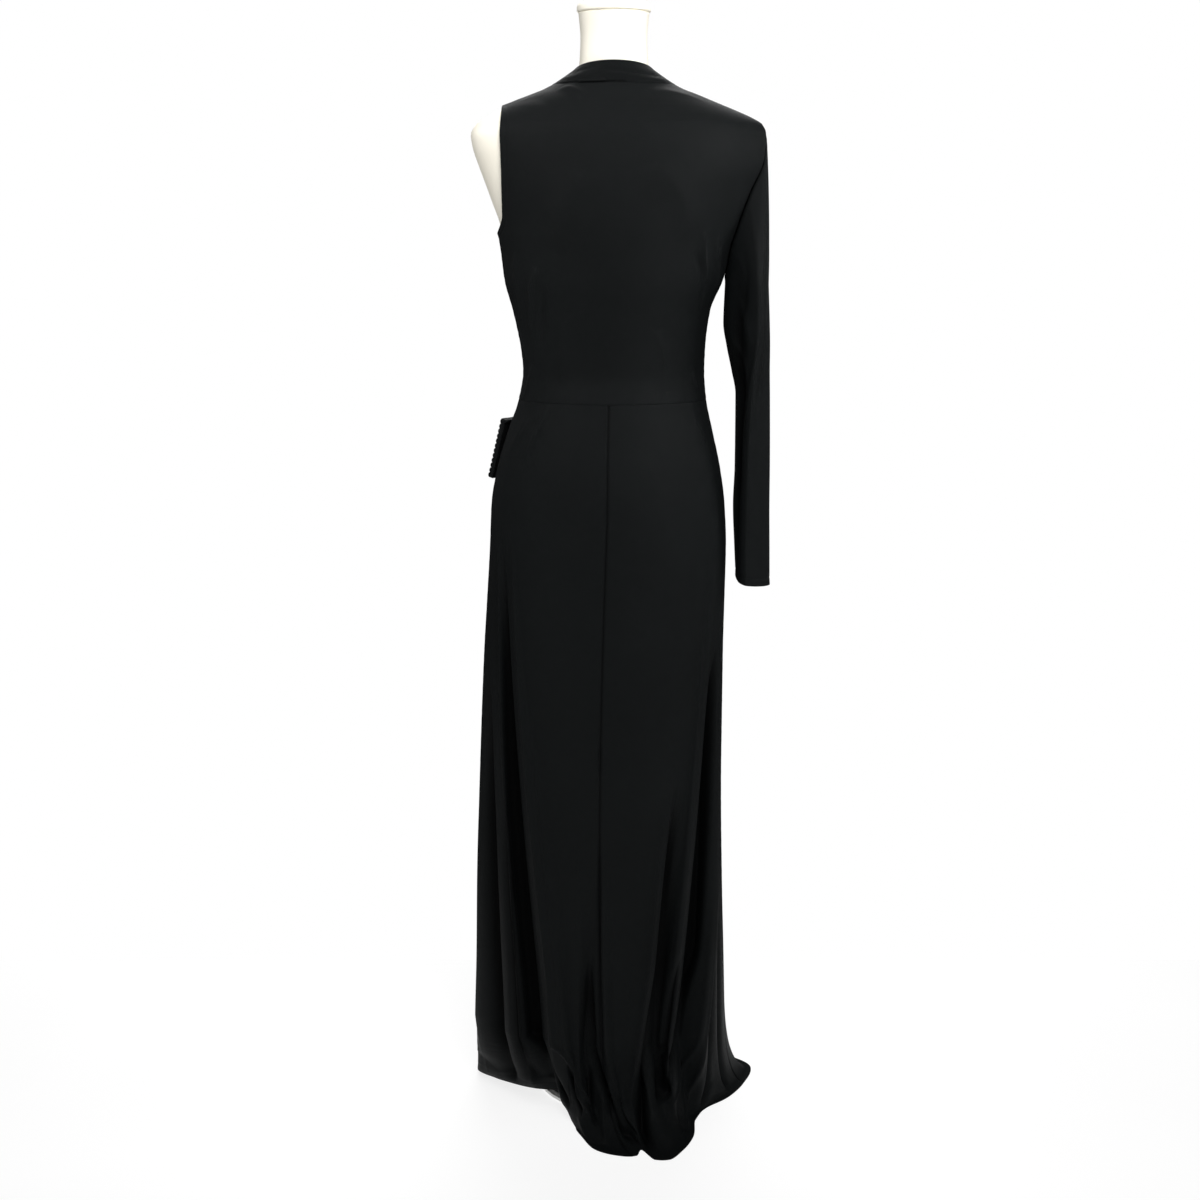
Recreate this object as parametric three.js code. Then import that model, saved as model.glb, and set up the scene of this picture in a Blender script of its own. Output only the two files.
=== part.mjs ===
// A long black jersey gown with one sleeve, worn by a limbless dress form on a stand.
// Millimetres, +Z up. The origin is the middle of the base's underside, on the form's axis.
// The gown's back faces -Y, so its sleeve is on +X and its bare armhole is on -X.
import * as THREE from "three";

// ---- driving dimensions ----
const CLOTH = 2; // wall of the cloth, with its turnings
const SEAM_GAP = 0.3; // between two pieces that are sewn together
const NECK_SEAM = 1412; // height of the collar seam at the back
const FRONT_NECK_DROP = 20; // how much lower the collar seam lies at the front
const WAIST_SEAM = 1003;
const LEFT_UNDERARM = 1222;
const LEFT_SHOULDER = 1385.8;
const RIGHT_UNDERARM = 1166;
const RIGHT_SHOULDER = 1362;
const HIP_LINE = 850; // the skirt's folds start to drift from here
const LOW_LINE = 110; // below this the skirt turns out to its hem
const CUFF = 745.5;

// ---- colours ----
const BLACK_JERSEY = new THREE.MeshStandardMaterial({ color: 0x17191a, roughness: 0.85 });
const BLACK_TRIM = new THREE.MeshStandardMaterial({ color: 0x121314, roughness: 0.5 });
const IVORY_FORM = new THREE.MeshStandardMaterial({ color: 0xf0dcb8, roughness: 0.55 });
const WHITE_STEEL = new THREE.MeshStandardMaterial({ color: 0xeeeeea, roughness: 0.4, metalness: 0.1 });

// ---- the gown's sections: half widths to its left and right, and depths behind and before the axis ----
const GOWN_SECTIONS = [
  { height: 1420, left: 66, right: 66, back: 56, front: 57 },
  { height: 1413, left: 79, right: 79, back: 59, front: 60 },
  { height: 1406, left: 93, right: 93, back: 63, front: 64 },
  { height: 1401, left: 106, right: 107, back: 66, front: 67 },
  { height: 1391, left: 133, right: 132, back: 72, front: 73 },
  { height: 1381, left: 157, right: 157, back: 77, front: 79 },
  { height: 1370, left: 180, right: 182.5, back: 82, front: 85 },
  { height: 1362, left: 190, right: 195.5, back: 86, front: 89 },
  { height: 1348, left: 195, right: 202, back: 91, front: 95 },
  { height: 1316, left: 186, right: 204, back: 97, front: 106 },
  { height: 1275, left: 171, right: 190, back: 101, front: 118 },
  { height: 1230, left: 156, right: 171, back: 102, front: 128 },
  { height: 1204, left: 151, right: 159, back: 101, front: 131 },
  { height: 1160, left: 145.5, right: 146, back: 98, front: 127 },
  { height: 1121, left: 135, right: 130, back: 92, front: 114 },
  { height: 1073, left: 125, right: 124, back: 86, front: 101 },
  { height: 1041, left: 122, right: 123, back: 85, front: 97 },
  { height: 1003, left: 128, right: 126, back: 91, front: 99 },
  { height: 960, left: 143, right: 135, back: 100, front: 103 },
  { height: 910, left: 158, right: 146, back: 109, front: 106 },
  { height: 860, left: 167, right: 153, back: 115, front: 108 },
  { height: 800, left: 170, right: 156, back: 118, front: 109 },
  { height: 725, left: 175, right: 155, back: 117, front: 109 },
  { height: 650, left: 180, right: 154, back: 116, front: 111 },
  { height: 500, left: 187, right: 154, back: 117, front: 116 },
  { height: 350, left: 192, right: 156, back: 120, front: 123 },
  { height: 200, left: 194.5, right: 159, back: 125, front: 132 },
  { height: 110, left: 197.5, right: 161.5, back: 129, front: 138 },
  { height: 0, left: 200, right: 167, back: 133, front: 145 },
];

// ---- the skirt's fold lines, from the left side seam round the back to the front ----
// at: the line's place round the skirt. hip, low: its angle from the centre back at two heights, in degrees.
// bow: degrees that it swings aside between them. stand: how far it stands out, or in, at the low line.
// from: the height where the fold begins. hem: its angle at the hem. reach: the hem's distance from the axis.
// lift: the hem's height above the floor.
const FOLD_LINES = [
  { at: -90, hip: -90, low: -90, bow: 0, stand: 1, from: 800, hem: -93, reach: 200, lift: 8 },
  { at: -83, hip: -84, low: -79, bow: 1, stand: 3, from: 700, hem: -80, reach: 174, lift: 14 },
  { at: -76, hip: -77, low: -61, bow: 0, stand: -10, from: 660, hem: -68, reach: 158, lift: 21 },
  { at: -69, hip: -69.5, low: -42.5, bow: 2.4, stand: 6, from: 760, hem: -52, reach: 141, lift: 27 },
  { at: -62, hip: -63, low: -34.5, bow: 1, stand: -20, from: 860, hem: -35, reach: 126, lift: 32 },
  { at: -56, hip: -56.5, low: -24.5, bow: 1.5, stand: 8, from: 900, hem: -28, reach: 130, lift: 10 },
  { at: -49, hip: -49.5, low: -18.5, bow: 1, stand: 8, from: 560, hem: -22.5, reach: 146, lift: 0 },
  { at: -36, hip: -37, low: -16, bow: 0.5, stand: 2, from: 500, hem: -14, reach: 179, lift: 0 },
  { at: -22, hip: -22, low: -14, bow: 1, stand: 1, from: 420, hem: -6.5, reach: 211, lift: 0 },
  { at: -9, hip: -9, low: -11.8, bow: 3.5, stand: -11, from: 410, hem: 1, reach: 224, lift: 0 },
  { at: 0, hip: -3, low: -4.5, bow: -1.8, stand: -1, from: 400, hem: 6, reach: 228, lift: 0 },
  { at: 3, hip: 0, low: -2.4, bow: -2.7, stand: 6, from: 420, hem: 8, reach: 227, lift: 0 },
  { at: 8, hip: 7, low: 1.5, bow: -3, stand: 3, from: 400, hem: 10.3, reach: 213, lift: 0 },
  { at: 15, hip: 19, low: 6.5, bow: -1, stand: 3, from: 400, hem: 13.5, reach: 242, lift: 0 },
  { at: 25, hip: 43, low: 14.8, bow: 1, stand: 9, from: 440, hem: 18, reach: 247, lift: 0 },
  { at: 32, hip: 50, low: 22.5, bow: 1, stand: -14, from: 430, hem: 24, reach: 232, lift: 0 },
  { at: 42, hip: 58, low: 28, bow: 3, stand: 7, from: 760, hem: 32.5, reach: 207, lift: 0 },
  { at: 53, hip: 71, low: 40.5, bow: 3.5, stand: -20, from: 880, hem: 43, reach: 172, lift: 0 },
  { at: 64, hip: 84, low: 49.5, bow: 7, stand: 8, from: 600, hem: 54, reach: 163, lift: 0 },
  { at: 75, hip: 87.5, low: 65, bow: 3, stand: -3, from: 400, hem: 69, reach: 178, lift: 0 },
  { at: 90, hip: 90, low: 88, bow: 0, stand: 2, from: 500, hem: 85, reach: 195, lift: 0 },
  { at: 98, hip: 97, low: 99, bow: 0, stand: 5, from: 500, hem: 98, reach: 209, lift: 0 },
  { at: 108, hip: 108, low: 109, bow: 0, stand: -5, from: 640, hem: 110, reach: 190, lift: 0 },
  { at: 122, hip: 121, low: 121, bow: 0, stand: 6, from: 700, hem: 122, reach: 182, lift: 0 },
  { at: 136, hip: 135, low: 135, bow: 0, stand: -7, from: 660, hem: 136, reach: 163, lift: 0 },
  { at: 150, hip: 149, low: 149, bow: 0, stand: 6, from: 720, hem: 150, reach: 160, lift: 0 },
  { at: 165, hip: 164, low: 164, bow: 0, stand: -6, from: 690, hem: 165, reach: 148, lift: 0 },
  { at: 180, hip: 180, low: 180, bow: 0, stand: 6, from: 700, hem: 180, reach: 152, lift: 0 },
  { at: 197, hip: 197, low: 197, bow: 0, stand: -6, from: 680, hem: 197, reach: 148, lift: 0 },
  { at: 214, hip: 213, low: 213, bow: 0, stand: 6, from: 720, hem: 212, reach: 163, lift: 0 },
  { at: 229, hip: 227, low: 227, bow: 0, stand: -7, from: 700, hem: 225, reach: 170, lift: 0 },
  { at: 244, hip: 241, low: 240, bow: 0, stand: 6, from: 740, hem: 239, reach: 188, lift: 3 },
  { at: 257, hip: 255, low: 254, bow: 0, stand: -5, from: 700, hem: 252, reach: 196, lift: 6 },
  { at: 270, hip: 270, low: 270, bow: 0, stand: 1, from: 800, hem: 267, reach: 200, lift: 8 },
];
const HANGING_ROWS = [1003, 982, 955, 920, 880, 835, 780, 710, 630, 550, 470, 390, 320, 260, 205, 155, 110];
const HEM_ROWS = 5;
const LANDING = 0.12; // how far out towards the hem the skirt reaches the floor
const HOVER = { out: 0.017, up: 1.6 }; // each millimetre of lift moves the landing this much out and up

// ---- the sleeve hangs empty, pressed flat along the body's side ----
// inner, outer: how far its two edges are from the axis. crest: how far the crest down its back is.
// depth: half of its size from front to back.
const SLEEVE_SECTIONS = [
  { height: 1156, inner: 149.5, outer: 207, crest: 188, depth: 60 },
  { height: 1105, inner: 148, outer: 209.5, crest: 189.5, depth: 58 },
  { height: 1073, inner: 153, outer: 211, crest: 188.5, depth: 56 },
  { height: 1041, inner: 160, outer: 211.5, crest: 186, depth: 54 },
  { height: 1008, inner: 166, outer: 212.5, crest: 183.5, depth: 52 },
  { height: 910, inner: 166.5, outer: 214.5, crest: 180, depth: 49 },
  { height: 860, inner: 165, outer: 215, crest: 179.5, depth: 47 },
  { height: 793, inner: 168, outer: 216.5, crest: 180, depth: 43 },
  { height: CUFF, inner: 170, outer: 217.5, crest: 181, depth: 41 },
];
const SLEEVE_ROWS = [1156, 1105, 1073, 1041, 1008, 960, 910, 860, 825, 793, 770, CUFF];
const SLEEVE_HEAD_ROWS = 6;
const SLEEVE_HEAD_SWELL = 2.4; // how soon the head reaches its full width across
const SLEEVE_HEAD_SPREAD = 1.6; // how soon it reaches its full depth
const CUFF_SLANT = 11; // the cuff is cut lower on its outer side
const SLEEVE_PRESS = 0.4; // how far the pressed edges come to a point

// ---- bodice rows: they pass through the underarms and shoulder points, and crowd where an armhole turns ----
const BODICE_ROWS = [
  1003, 1022, 1041, 1073, 1105, 1138, 1166, 1184, 1204, 1222, 1223.5, 1227, 1234, 1246, 1264, 1285, 1308,
  1330, 1348, 1362, 1371, 1377, 1381.5, 1384.3, 1385.8, 1391, 1398, 1405, 1412,
];
const BODICE_COLUMNS = 18;
const BARE_EDGE = 145.5; // how far from the axis the bare armhole's edge runs
const BARE_TURN = 24; // the height over which it turns up from the underarm
const BARE_SCOOP = 14; // how much further in it runs at the front
const SLEEVED_SWING = 20; // degrees that the sleeved armhole swings in from the body's side

// ---- the collar: a soft standing band ----
const COLLAR_COLUMNS = 36;
const COLLAR_RIM = { side: 51, back: 51, front: 62, backHeight: 1440, frontHeight: 1418 };
const COLLAR_SWELL = 2.5; // at the centre back and front
const COLLAR_SHARES = [0, 0.2, 0.45, 0.72, 1];

// ---- the dress form: half width, and depths behind and before its axis ----
const FORM_SECTIONS = [
  { height: 1502, side: 46, back: 46, front: 46 },
  { height: 1470, side: 43.5, back: 44, front: 44 },
  { height: 1446, side: 44.5, back: 45, front: 45 },
  { height: 1432, side: 46, back: 46, front: 46 },
  { height: 1421, side: 52, back: 48.5, front: 49 },
  { height: 1413, side: 68, back: 52, front: 53 },
  { height: 1408, side: 80, back: 55, front: 56 },
  { height: 1401, side: 96, back: 60.5, front: 61.5 },
  { height: 1391, side: 123, back: 67, front: 68 },
  { height: 1382, side: 146, back: 72, front: 73.5 },
  { height: 1372, side: 167, back: 76.5, front: 79 },
  { height: 1362, side: 181, back: 80.5, front: 83.5 },
  { height: 1349, side: 188, back: 85.5, front: 89 },
  { height: 1334, side: 186, back: 89, front: 94.5 },
  { height: 1312, side: 179, back: 92, front: 101.5 },
  { height: 1285, side: 169, back: 94.5, front: 109.5 },
  { height: 1260, side: 160, back: 95.5, front: 116 },
  { height: 1235, side: 151, back: 96, front: 121 },
  { height: 1204, side: 145, back: 95, front: 125 },
  { height: 1160, side: 138, back: 92, front: 121 },
  { height: 1115, side: 124, back: 86, front: 107 },
  { height: 1073, side: 117, back: 80, front: 95 },
  { height: 1041, side: 115, back: 79, front: 91 },
  { height: 1003, side: 119, back: 85, front: 93 },
  { height: 955, side: 129, back: 94, front: 97 },
  { height: 905, side: 140, back: 103, front: 100 },
  { height: 850, side: 146, back: 109, front: 102 },
  { height: 790, side: 148, back: 112, front: 103 },
  { height: 715, side: 146, back: 110, front: 102 },
  { height: 650, side: 141, back: 104, front: 98 },
  { height: 628, side: 134, back: 98, front: 92 },
  { height: 618, side: 118, back: 84, front: 78 },
];
const FORM_COLUMNS = 36;
const NECK_CAP = [
  { height: 1502.3, radius: 45 },
  { height: 1504, radius: 48 },
  { height: 1510, radius: 48 },
  { height: 1514, radius: 44 },
  { height: 1516, radius: 24 },
];
const POLE = [
  { height: 20.3, radius: 14 },
  { height: 617.7, radius: 14 },
];
const BASE = [
  { height: 0, radius: 106 },
  { height: 1.5, radius: 108 },
  { height: 6, radius: 108 },
  { height: 9, radius: 103 },
  { height: 13, radius: 32 },
  { height: 18, radius: 24 },
  { height: 52, radius: 24 },
  { height: 52, radius: 14.4 },
  { height: 20, radius: 14.4 },
];
const ROUND_COLUMNS = 40;

// ---- the ribbed band that stands at the left hip ----
const HIP_BAND = { angle: -112, middle: 930.5, height: 86, width: 52, thickness: 6, ribs: 12, rib: 2 };
const HIP_BAND_LEAN = 24; // its foot stands out further than its head
const HIP_BAND_OFFSET = 3.4; // from the hip to its inner face, at mid height
const HIP_BAND_TURN = { length: 2.9, thickness: 4 }; // its head turns in to the dress

const radians = THREE.MathUtils.degToRad;
const degrees = THREE.MathUtils.radToDeg;
const mix = THREE.MathUtils.lerp;
const clamp = THREE.MathUtils.clamp;
const ease = THREE.MathUtils.smoothstep;

/** Reads one column of a table at any place along its key, on a smooth curve that never overshoots a row. */
function read(rows, key, name, place) {
  const ordered = rows[0][key] > rows[1][key] ? [...rows].reverse() : rows;
  const last = ordered.length - 1;
  const inside = clamp(place, ordered[0][key], ordered[last][key]);
  let i = 0;
  while (i < last - 1 && ordered[i + 1][key] < inside) i += 1;
  const slope = (k) => (ordered[k + 1][name] - ordered[k][name]) / (ordered[k + 1][key] - ordered[k][key]);
  const tangent = (k) => {
    if (k === 0) return slope(0);
    if (k === last) return slope(last - 1);
    const before = slope(k - 1);
    const after = slope(k);
    return before * after <= 0 ? 0 : (2 * before * after) / (before + after);
  };
  const span = ordered[i + 1][key] - ordered[i][key];
  const s = (inside - ordered[i][key]) / span;
  const square = s * s;
  const cube = square * s;
  return (
    (2 * cube - 3 * square + 1) * ordered[i][name] +
    (cube - 2 * square + s) * span * tangent(i) +
    (3 * square - 2 * cube) * ordered[i + 1][name] +
    (cube - square) * span * tangent(i + 1)
  );
}

// ---- surfaces: each gives the cloth's outer point from two parameters ----

/** The gown without folds: an ellipse at each height. The angle is 0 at the centre back and grows towards +X. */
function gownPoint(angle, height) {
  const width = read(GOWN_SECTIONS, "height", Math.sin(angle) < 0 ? "left" : "right", height);
  const depth = read(GOWN_SECTIONS, "height", Math.cos(angle) > 0 ? "back" : "front", height);
  return new THREE.Vector3(width * Math.sin(angle), -depth * Math.cos(angle), height);
}

/** A fold line's row, moved on by a number of degrees. */
const turned = (line, by) => ({
  ...line,
  at: line.at + by,
  hip: line.hip + by,
  low: line.low + by,
  hem: line.hem + by,
});
const FOLDS_ROUND = [turned(FOLD_LINES.at(-2), -360), ...FOLD_LINES, turned(FOLD_LINES[1], 360)];

/** The skirt above its low line: the plain gown, with fold lines that drift round it and stand out or in. */
function hangingPoint(at, height) {
  const line = (name) => read(FOLDS_ROUND, "at", name, at);
  const fall = clamp((HIP_LINE - height) / (HIP_LINE - LOW_LINE), 0, 1);
  const aside = line("bow") * 4 * fall * (1 - fall);
  const angle = radians(mix(line("hip"), line("low"), fall) + aside);
  const width = read(GOWN_SECTIONS, "height", Math.sin(angle) < 0 ? "left" : "right", height);
  const depth = read(GOWN_SECTIONS, "height", Math.cos(angle) > 0 ? "back" : "front", height);
  const outward = new THREE.Vector3(Math.sin(angle) / width, -Math.cos(angle) / depth, 0).normalize();
  const growth = 1 - ease(height, LOW_LINE, line("from"));
  return gownPoint(angle, height).addScaledVector(outward, line("stand") * growth);
}

/** The whole skirt: down from 1 at the waist seam to 0 at the low line, then along a curve to -1 at the hem. */
function skirtPoint(at, down) {
  if (down >= 0) return hangingPoint(at, mix(LOW_LINE, WAIST_SEAM, down));
  const q = -down;
  const line = (name) => read(FOLDS_ROUND, "at", name, at);
  const start = hangingPoint(at, LOW_LINE);
  const angle = radians(line("hem"));
  const hem = new THREE.Vector3(Math.sin(angle), -Math.cos(angle), 0).multiplyScalar(line("reach"));
  hem.z = line("lift");
  const knee = start.clone().lerp(hem, LANDING + hem.z * HOVER.out).setZ(hem.z * HOVER.up);
  const p = start.multiplyScalar((1 - q) * (1 - q));
  return p.addScaledVector(knee, 2 * q * (1 - q)).addScaledVector(hem, q * q);
}

/** A surface's unit normal: across its first parameter's direction, then its second's. */
function normalOf(surface, a, b, stepA, stepB) {
  const alongA = surface(a + stepA, b).sub(surface(a - stepA, b));
  const alongB = surface(a, b + stepB).sub(surface(a, b - stepB));
  return alongA.cross(alongB).normalize();
}

/** A point with its normal, moved along the first parameter by a signed distance in millimetres. */
function sample(surface, a, b, stepA, stepB, shift = 0) {
  const step = Math.sign(shift) * stepA;
  const place = shift ? a + (shift * stepA) / surface(a + step, b).distanceTo(surface(a, b)) : a;
  return { point: surface(place, b), normal: normalOf(surface, place, b, stepA, stepB) };
}

/** The neckline's height at an angle: level round the back, lower at the front. */
function necklineHeight(angle) {
  const front = Math.min(0, Math.cos(angle));
  return NECK_SEAM - FRONT_NECK_DROP * front * front;
}

/** Degrees by which the bare armhole's edge lies in from the body's side. */
function bareArmhole(height, scoop) {
  if (height <= LEFT_UNDERARM || height >= LEFT_SHOULDER) return 0;
  const rise = (height - LEFT_UNDERARM) / (LEFT_SHOULDER - LEFT_UNDERARM);
  const turn = Math.min(1, (height - LEFT_UNDERARM) / BARE_TURN);
  const edge = BARE_EDGE - scoop * Math.sin(Math.PI * rise);
  const width = read(GOWN_SECTIONS, "height", "left", height);
  const full = 90 - degrees(Math.asin(Math.min(1, edge / width)));
  return full * Math.sqrt(1 - (1 - turn) ** 2);
}

/** Degrees by which the sleeved armhole's edge lies in from the body's side. */
function sleevedArmhole(height) {
  const rise = clamp((height - RIGHT_UNDERARM) / (RIGHT_SHOULDER - RIGHT_UNDERARM), 0, 1);
  return SLEEVED_SWING * Math.sin(Math.PI * rise) ** 0.7;
}

// ---- solids ----

/** A closed wall from a grid of outer points with their normals, whose columns by rows turn outwards. */
function wall(rows, tube = false) {
  const columns = rows[0].length;
  const count = rows.length * columns;
  const inner = rows.flat().map(({ point, normal }) => {
    const p = point.clone().addScaledVector(normal, -CLOTH);
    return p.setZ(Math.max(0, p.z));
  });
  const positions = [...rows.flat().map(({ point }) => point), ...inner].flatMap((p) => p.toArray());
  const faces = [];
  const quad = (a, b, c, d) => faces.push(a, b, c, a, c, d);
  const spans = tube ? columns : columns - 1;
  const end = rows.length - 1;
  const right = columns - 1;
  const index = (i, j) => i * columns + (j % columns);
  for (let i = 0; i < end; i += 1) {
    for (let j = 0; j < spans; j += 1) {
      const corners = [index(i, j), index(i, j + 1), index(i + 1, j + 1), index(i + 1, j)];
      quad(...corners);
      quad(...corners.map((k) => k + count).reverse());
    }
  }
  for (let j = 0; j < spans; j += 1) {
    quad(index(0, j + 1), index(0, j), index(0, j) + count, index(0, j + 1) + count);
    quad(index(end, j), index(end, j + 1), index(end, j + 1) + count, index(end, j) + count);
  }
  for (let i = 0; i < end && !tube; i += 1) {
    quad(index(i, 0), index(i + 1, 0), index(i + 1, 0) + count, index(i, 0) + count);
    quad(index(i + 1, right), index(i, right), index(i, right) + count, index(i + 1, right) + count);
  }
  return solid(positions, faces);
}

/** A closed solid from level rings, one above or within the next, with a flat end at each side. */
function stack(rings) {
  const columns = rings[0].length;
  const positions = rings.flat().flatMap((p) => p.toArray());
  const faces = [];
  const index = (i, j) => i * columns + (j % columns);
  const end = rings.length - 1;
  for (let i = 0; i < end; i += 1) {
    for (let j = 0; j < columns; j += 1) {
      faces.push(index(i, j), index(i, j + 1), index(i + 1, j + 1));
      faces.push(index(i, j), index(i + 1, j + 1), index(i + 1, j));
    }
  }
  for (let j = 1; j < columns - 1; j += 1) {
    faces.push(index(0, 0), index(0, j + 1), index(0, j));
    faces.push(index(end, 0), index(end, j), index(end, j + 1));
  }
  return solid(positions, faces);
}

function solid(positions, faces) {
  return new THREE.BufferGeometry()
    .setAttribute("position", new THREE.Float32BufferAttribute(positions, 3))
    .setIndex(faces);
}

/** One level ring of an oval, with its own depths behind and before the axis. */
function ring(side, back, front, height, columns) {
  return Array.from({ length: columns }, (_, j) => {
    const angle = (2 * Math.PI * j) / columns;
    const depth = Math.cos(angle) > 0 ? back : front;
    return new THREE.Vector3(side * Math.sin(angle), -depth * Math.cos(angle), height);
  });
}

/** A bodice panel between two side edges that may differ from row to row. */
function bodicePanel(sides) {
  const half = SEAM_GAP / 2;
  const rowHeight = (row, angle) => {
    if (row <= RIGHT_SHOULDER) return Math.max(row, WAIST_SEAM + half);
    const share = (row - RIGHT_SHOULDER) / (NECK_SEAM - RIGHT_SHOULDER);
    return mix(RIGHT_SHOULDER, necklineHeight(angle), share);
  };
  const rows = BODICE_ROWS.map((row) => {
    const { from, to, fromSewn, toSewn } = sides(row);
    return Array.from({ length: BODICE_COLUMNS + 1 }, (_, j) => {
      const angle = radians(mix(from, to, j / BODICE_COLUMNS));
      const shift = j === 0 && fromSewn ? half : j === BODICE_COLUMNS && toSewn ? -half : 0;
      return sample(gownPoint, angle, rowHeight(row, angle), 1e-3, 0.05, shift);
    });
  });
  return wall(rows);
}

const backSides = (row) => ({
  from: -90 + bareArmhole(row, 0),
  to: 90 - sleevedArmhole(row),
  fromSewn: row <= LEFT_UNDERARM || row >= LEFT_SHOULDER,
  toSewn: row <= RIGHT_UNDERARM || row >= RIGHT_SHOULDER,
});
const frontSides = (row) => ({
  from: 90 + sleevedArmhole(row),
  to: 270 - bareArmhole(row, BARE_SCOOP),
  fromSewn: row <= RIGHT_UNDERARM || row >= RIGHT_SHOULDER,
  toSewn: row <= LEFT_UNDERARM || row >= LEFT_SHOULDER,
});

/** A skirt panel between two of the fold lines, with a column on each line and one between each two. */
function skirtPanel(from, to) {
  const half = SEAM_GAP / 2;
  const marks = FOLD_LINES.map((line) => line.at).filter((at) => at >= from && at <= to);
  const places = marks.flatMap((at, i) => (i === 0 ? [at] : [mix(marks[i - 1], at, 0.5), at]));
  const top = WAIST_SEAM - half;
  const hanging = HANGING_ROWS.map((row) => (Math.min(row, top) - LOW_LINE) / (WAIST_SEAM - LOW_LINE));
  const turning = Array.from({ length: HEM_ROWS }, (_, i) => -(i + 1) / HEM_ROWS);
  const rows = [...hanging, ...turning].reverse().map((down) =>
    places.map((at, j) => {
      const shift = j === 0 ? half : j === places.length - 1 ? -half : 0;
      const { point, normal } = sample(skirtPoint, at, down, 0.05, 1e-3, shift);
      point.z = Math.max(point.z, CLOTH * Math.max(0, normal.z));
      return { point, normal };
    }),
  );
  return wall(rows);
}

/** Normals of a closed band of points, from its neighbours. */
function bandWithNormals(grid, seamAway) {
  const turns = grid[0].length;
  return grid.map((row, i) =>
    row.map((point, j) => {
      const along = row[(j + 1) % turns].clone().sub(row[(j + turns - 1) % turns]);
      const next = grid[Math.min(i + 1, grid.length - 1)][j];
      const normal = along.cross(next.clone().sub(grid[Math.max(i - 1, 0)][j])).normalize();
      // At a seam the wall's end must not lean into the piece that it is sewn to.
      const lean = i === 0 ? Math.max(0, normal.dot(seamAway[j])) : 0;
      if (lean > 0) normal.addScaledVector(seamAway[j], -lean).normalize();
      return { point, normal };
    }),
  );
}

/** The sleeved armhole: a loop of points on the body, down the back from the shoulder and up the front. */
function armhole() {
  const heights = BODICE_ROWS.filter((row) => row >= RIGHT_UNDERARM && row <= RIGHT_SHOULDER).reverse();
  const back = heights.map((height) => ({ angle: 90 - sleevedArmhole(height), height }));
  const front = heights.slice(1, -1).map((height) => ({ angle: 90 + sleevedArmhole(height), height }));
  const edge = [...back, ...front.reverse()].map(({ angle, height }) =>
    sample(gownPoint, radians(angle), height, 1e-3, 0.05),
  );
  return edge.map(({ point, normal }, j) => {
    const next = edge[(j + 1) % edge.length].point;
    const previous = edge[(j + edge.length - 1) % edge.length].point;
    const away = normal.clone().cross(next.clone().sub(previous)).normalize();
    return { point: point.clone().addScaledVector(away, SEAM_GAP), away };
  });
}

/** The sleeve's level part: an oval pressed flat against the body's side, with a slanted cuff. */
function sleeveTubePoint(turn, height) {
  const section = (name) => read(SLEEVE_SECTIONS, "height", name, height);
  const pointed = Math.asin(Math.sin(turn)) / (Math.PI / 2);
  const middle = (section("inner") + section("outer")) / 2;
  const half = (section("outer") - section("inner")) / 2;
  const drift = (section("crest") - middle) * Math.max(0, Math.sin(turn)) ** 2;
  const slant = CUFF_SLANT * ((1 - Math.cos(turn)) / 2) * (1 - ease(height, CUFF, CUFF + 60));
  return new THREE.Vector3(
    middle + half * Math.cos(turn) + drift,
    -section("depth") * mix(Math.sin(turn), pointed, SLEEVE_PRESS),
    height + slant,
  );
}

/** The sleeve: a head that runs out from the armhole to the first level section, then the level part. */
function sleeve() {
  const loop = armhole();
  const turnOf = (j) => (2 * Math.PI * j) / loop.length;
  const head = Array.from({ length: SLEEVE_HEAD_ROWS }, (_, k) => k / SLEEVE_HEAD_ROWS);
  const headRows = head.map((share) =>
    loop.map(({ point }, j) => {
      const target = sleeveTubePoint(turnOf(j), SLEEVE_SECTIONS[0].height);
      const outwards = 1 - (1 - share) ** SLEEVE_HEAD_SWELL;
      const along = 1 - (1 - share) ** SLEEVE_HEAD_SPREAD;
      const z = mix(point.z, target.z, share);
      return new THREE.Vector3(mix(point.x, target.x, outwards), mix(point.y, target.y, along), z);
    }),
  );
  const levelRows = SLEEVE_ROWS.map((height) => loop.map((_, j) => sleeveTubePoint(turnOf(j), height)));
  const away = loop.map((edge) => edge.away);
  return wall(bandWithNormals([...headRows, ...levelRows], away), true);
}

/** The collar: a band from the neckline up to its rim, swelling a little between them. */
function collar() {
  const angles = Array.from({ length: COLLAR_COLUMNS }, (_, j) => (2 * Math.PI * j) / COLLAR_COLUMNS);
  const seam = angles.map((angle) => {
    const height = necklineHeight(angle);
    const away = gownPoint(angle, height + 0.1).sub(gownPoint(angle, height)).normalize();
    return { point: gownPoint(angle, height).addScaledVector(away, SEAM_GAP), away };
  });
  const bandPoint = (j, up) => {
    const angle = angles[j];
    const depth = Math.cos(angle) > 0 ? COLLAR_RIM.back : COLLAR_RIM.front;
    const height = mix(COLLAR_RIM.frontHeight, COLLAR_RIM.backHeight, (1 + Math.cos(angle)) / 2);
    const rim = new THREE.Vector3(COLLAR_RIM.side * Math.sin(angle), -depth * Math.cos(angle), height);
    const outward = new THREE.Vector3(Math.sin(angle), -Math.cos(angle), 0.6).normalize();
    const swell = COLLAR_SWELL * Math.cos(angle) ** 2 * Math.sin(Math.PI * up);
    return seam[j].point.clone().lerp(rim, up).addScaledVector(outward, swell);
  };
  const grid = COLLAR_SHARES.map((up) => angles.map((_, j) => bandPoint(j, up)));
  const away = seam.map((edge) => edge.away);
  return wall(bandWithNormals(grid, away), true);
}

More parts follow.
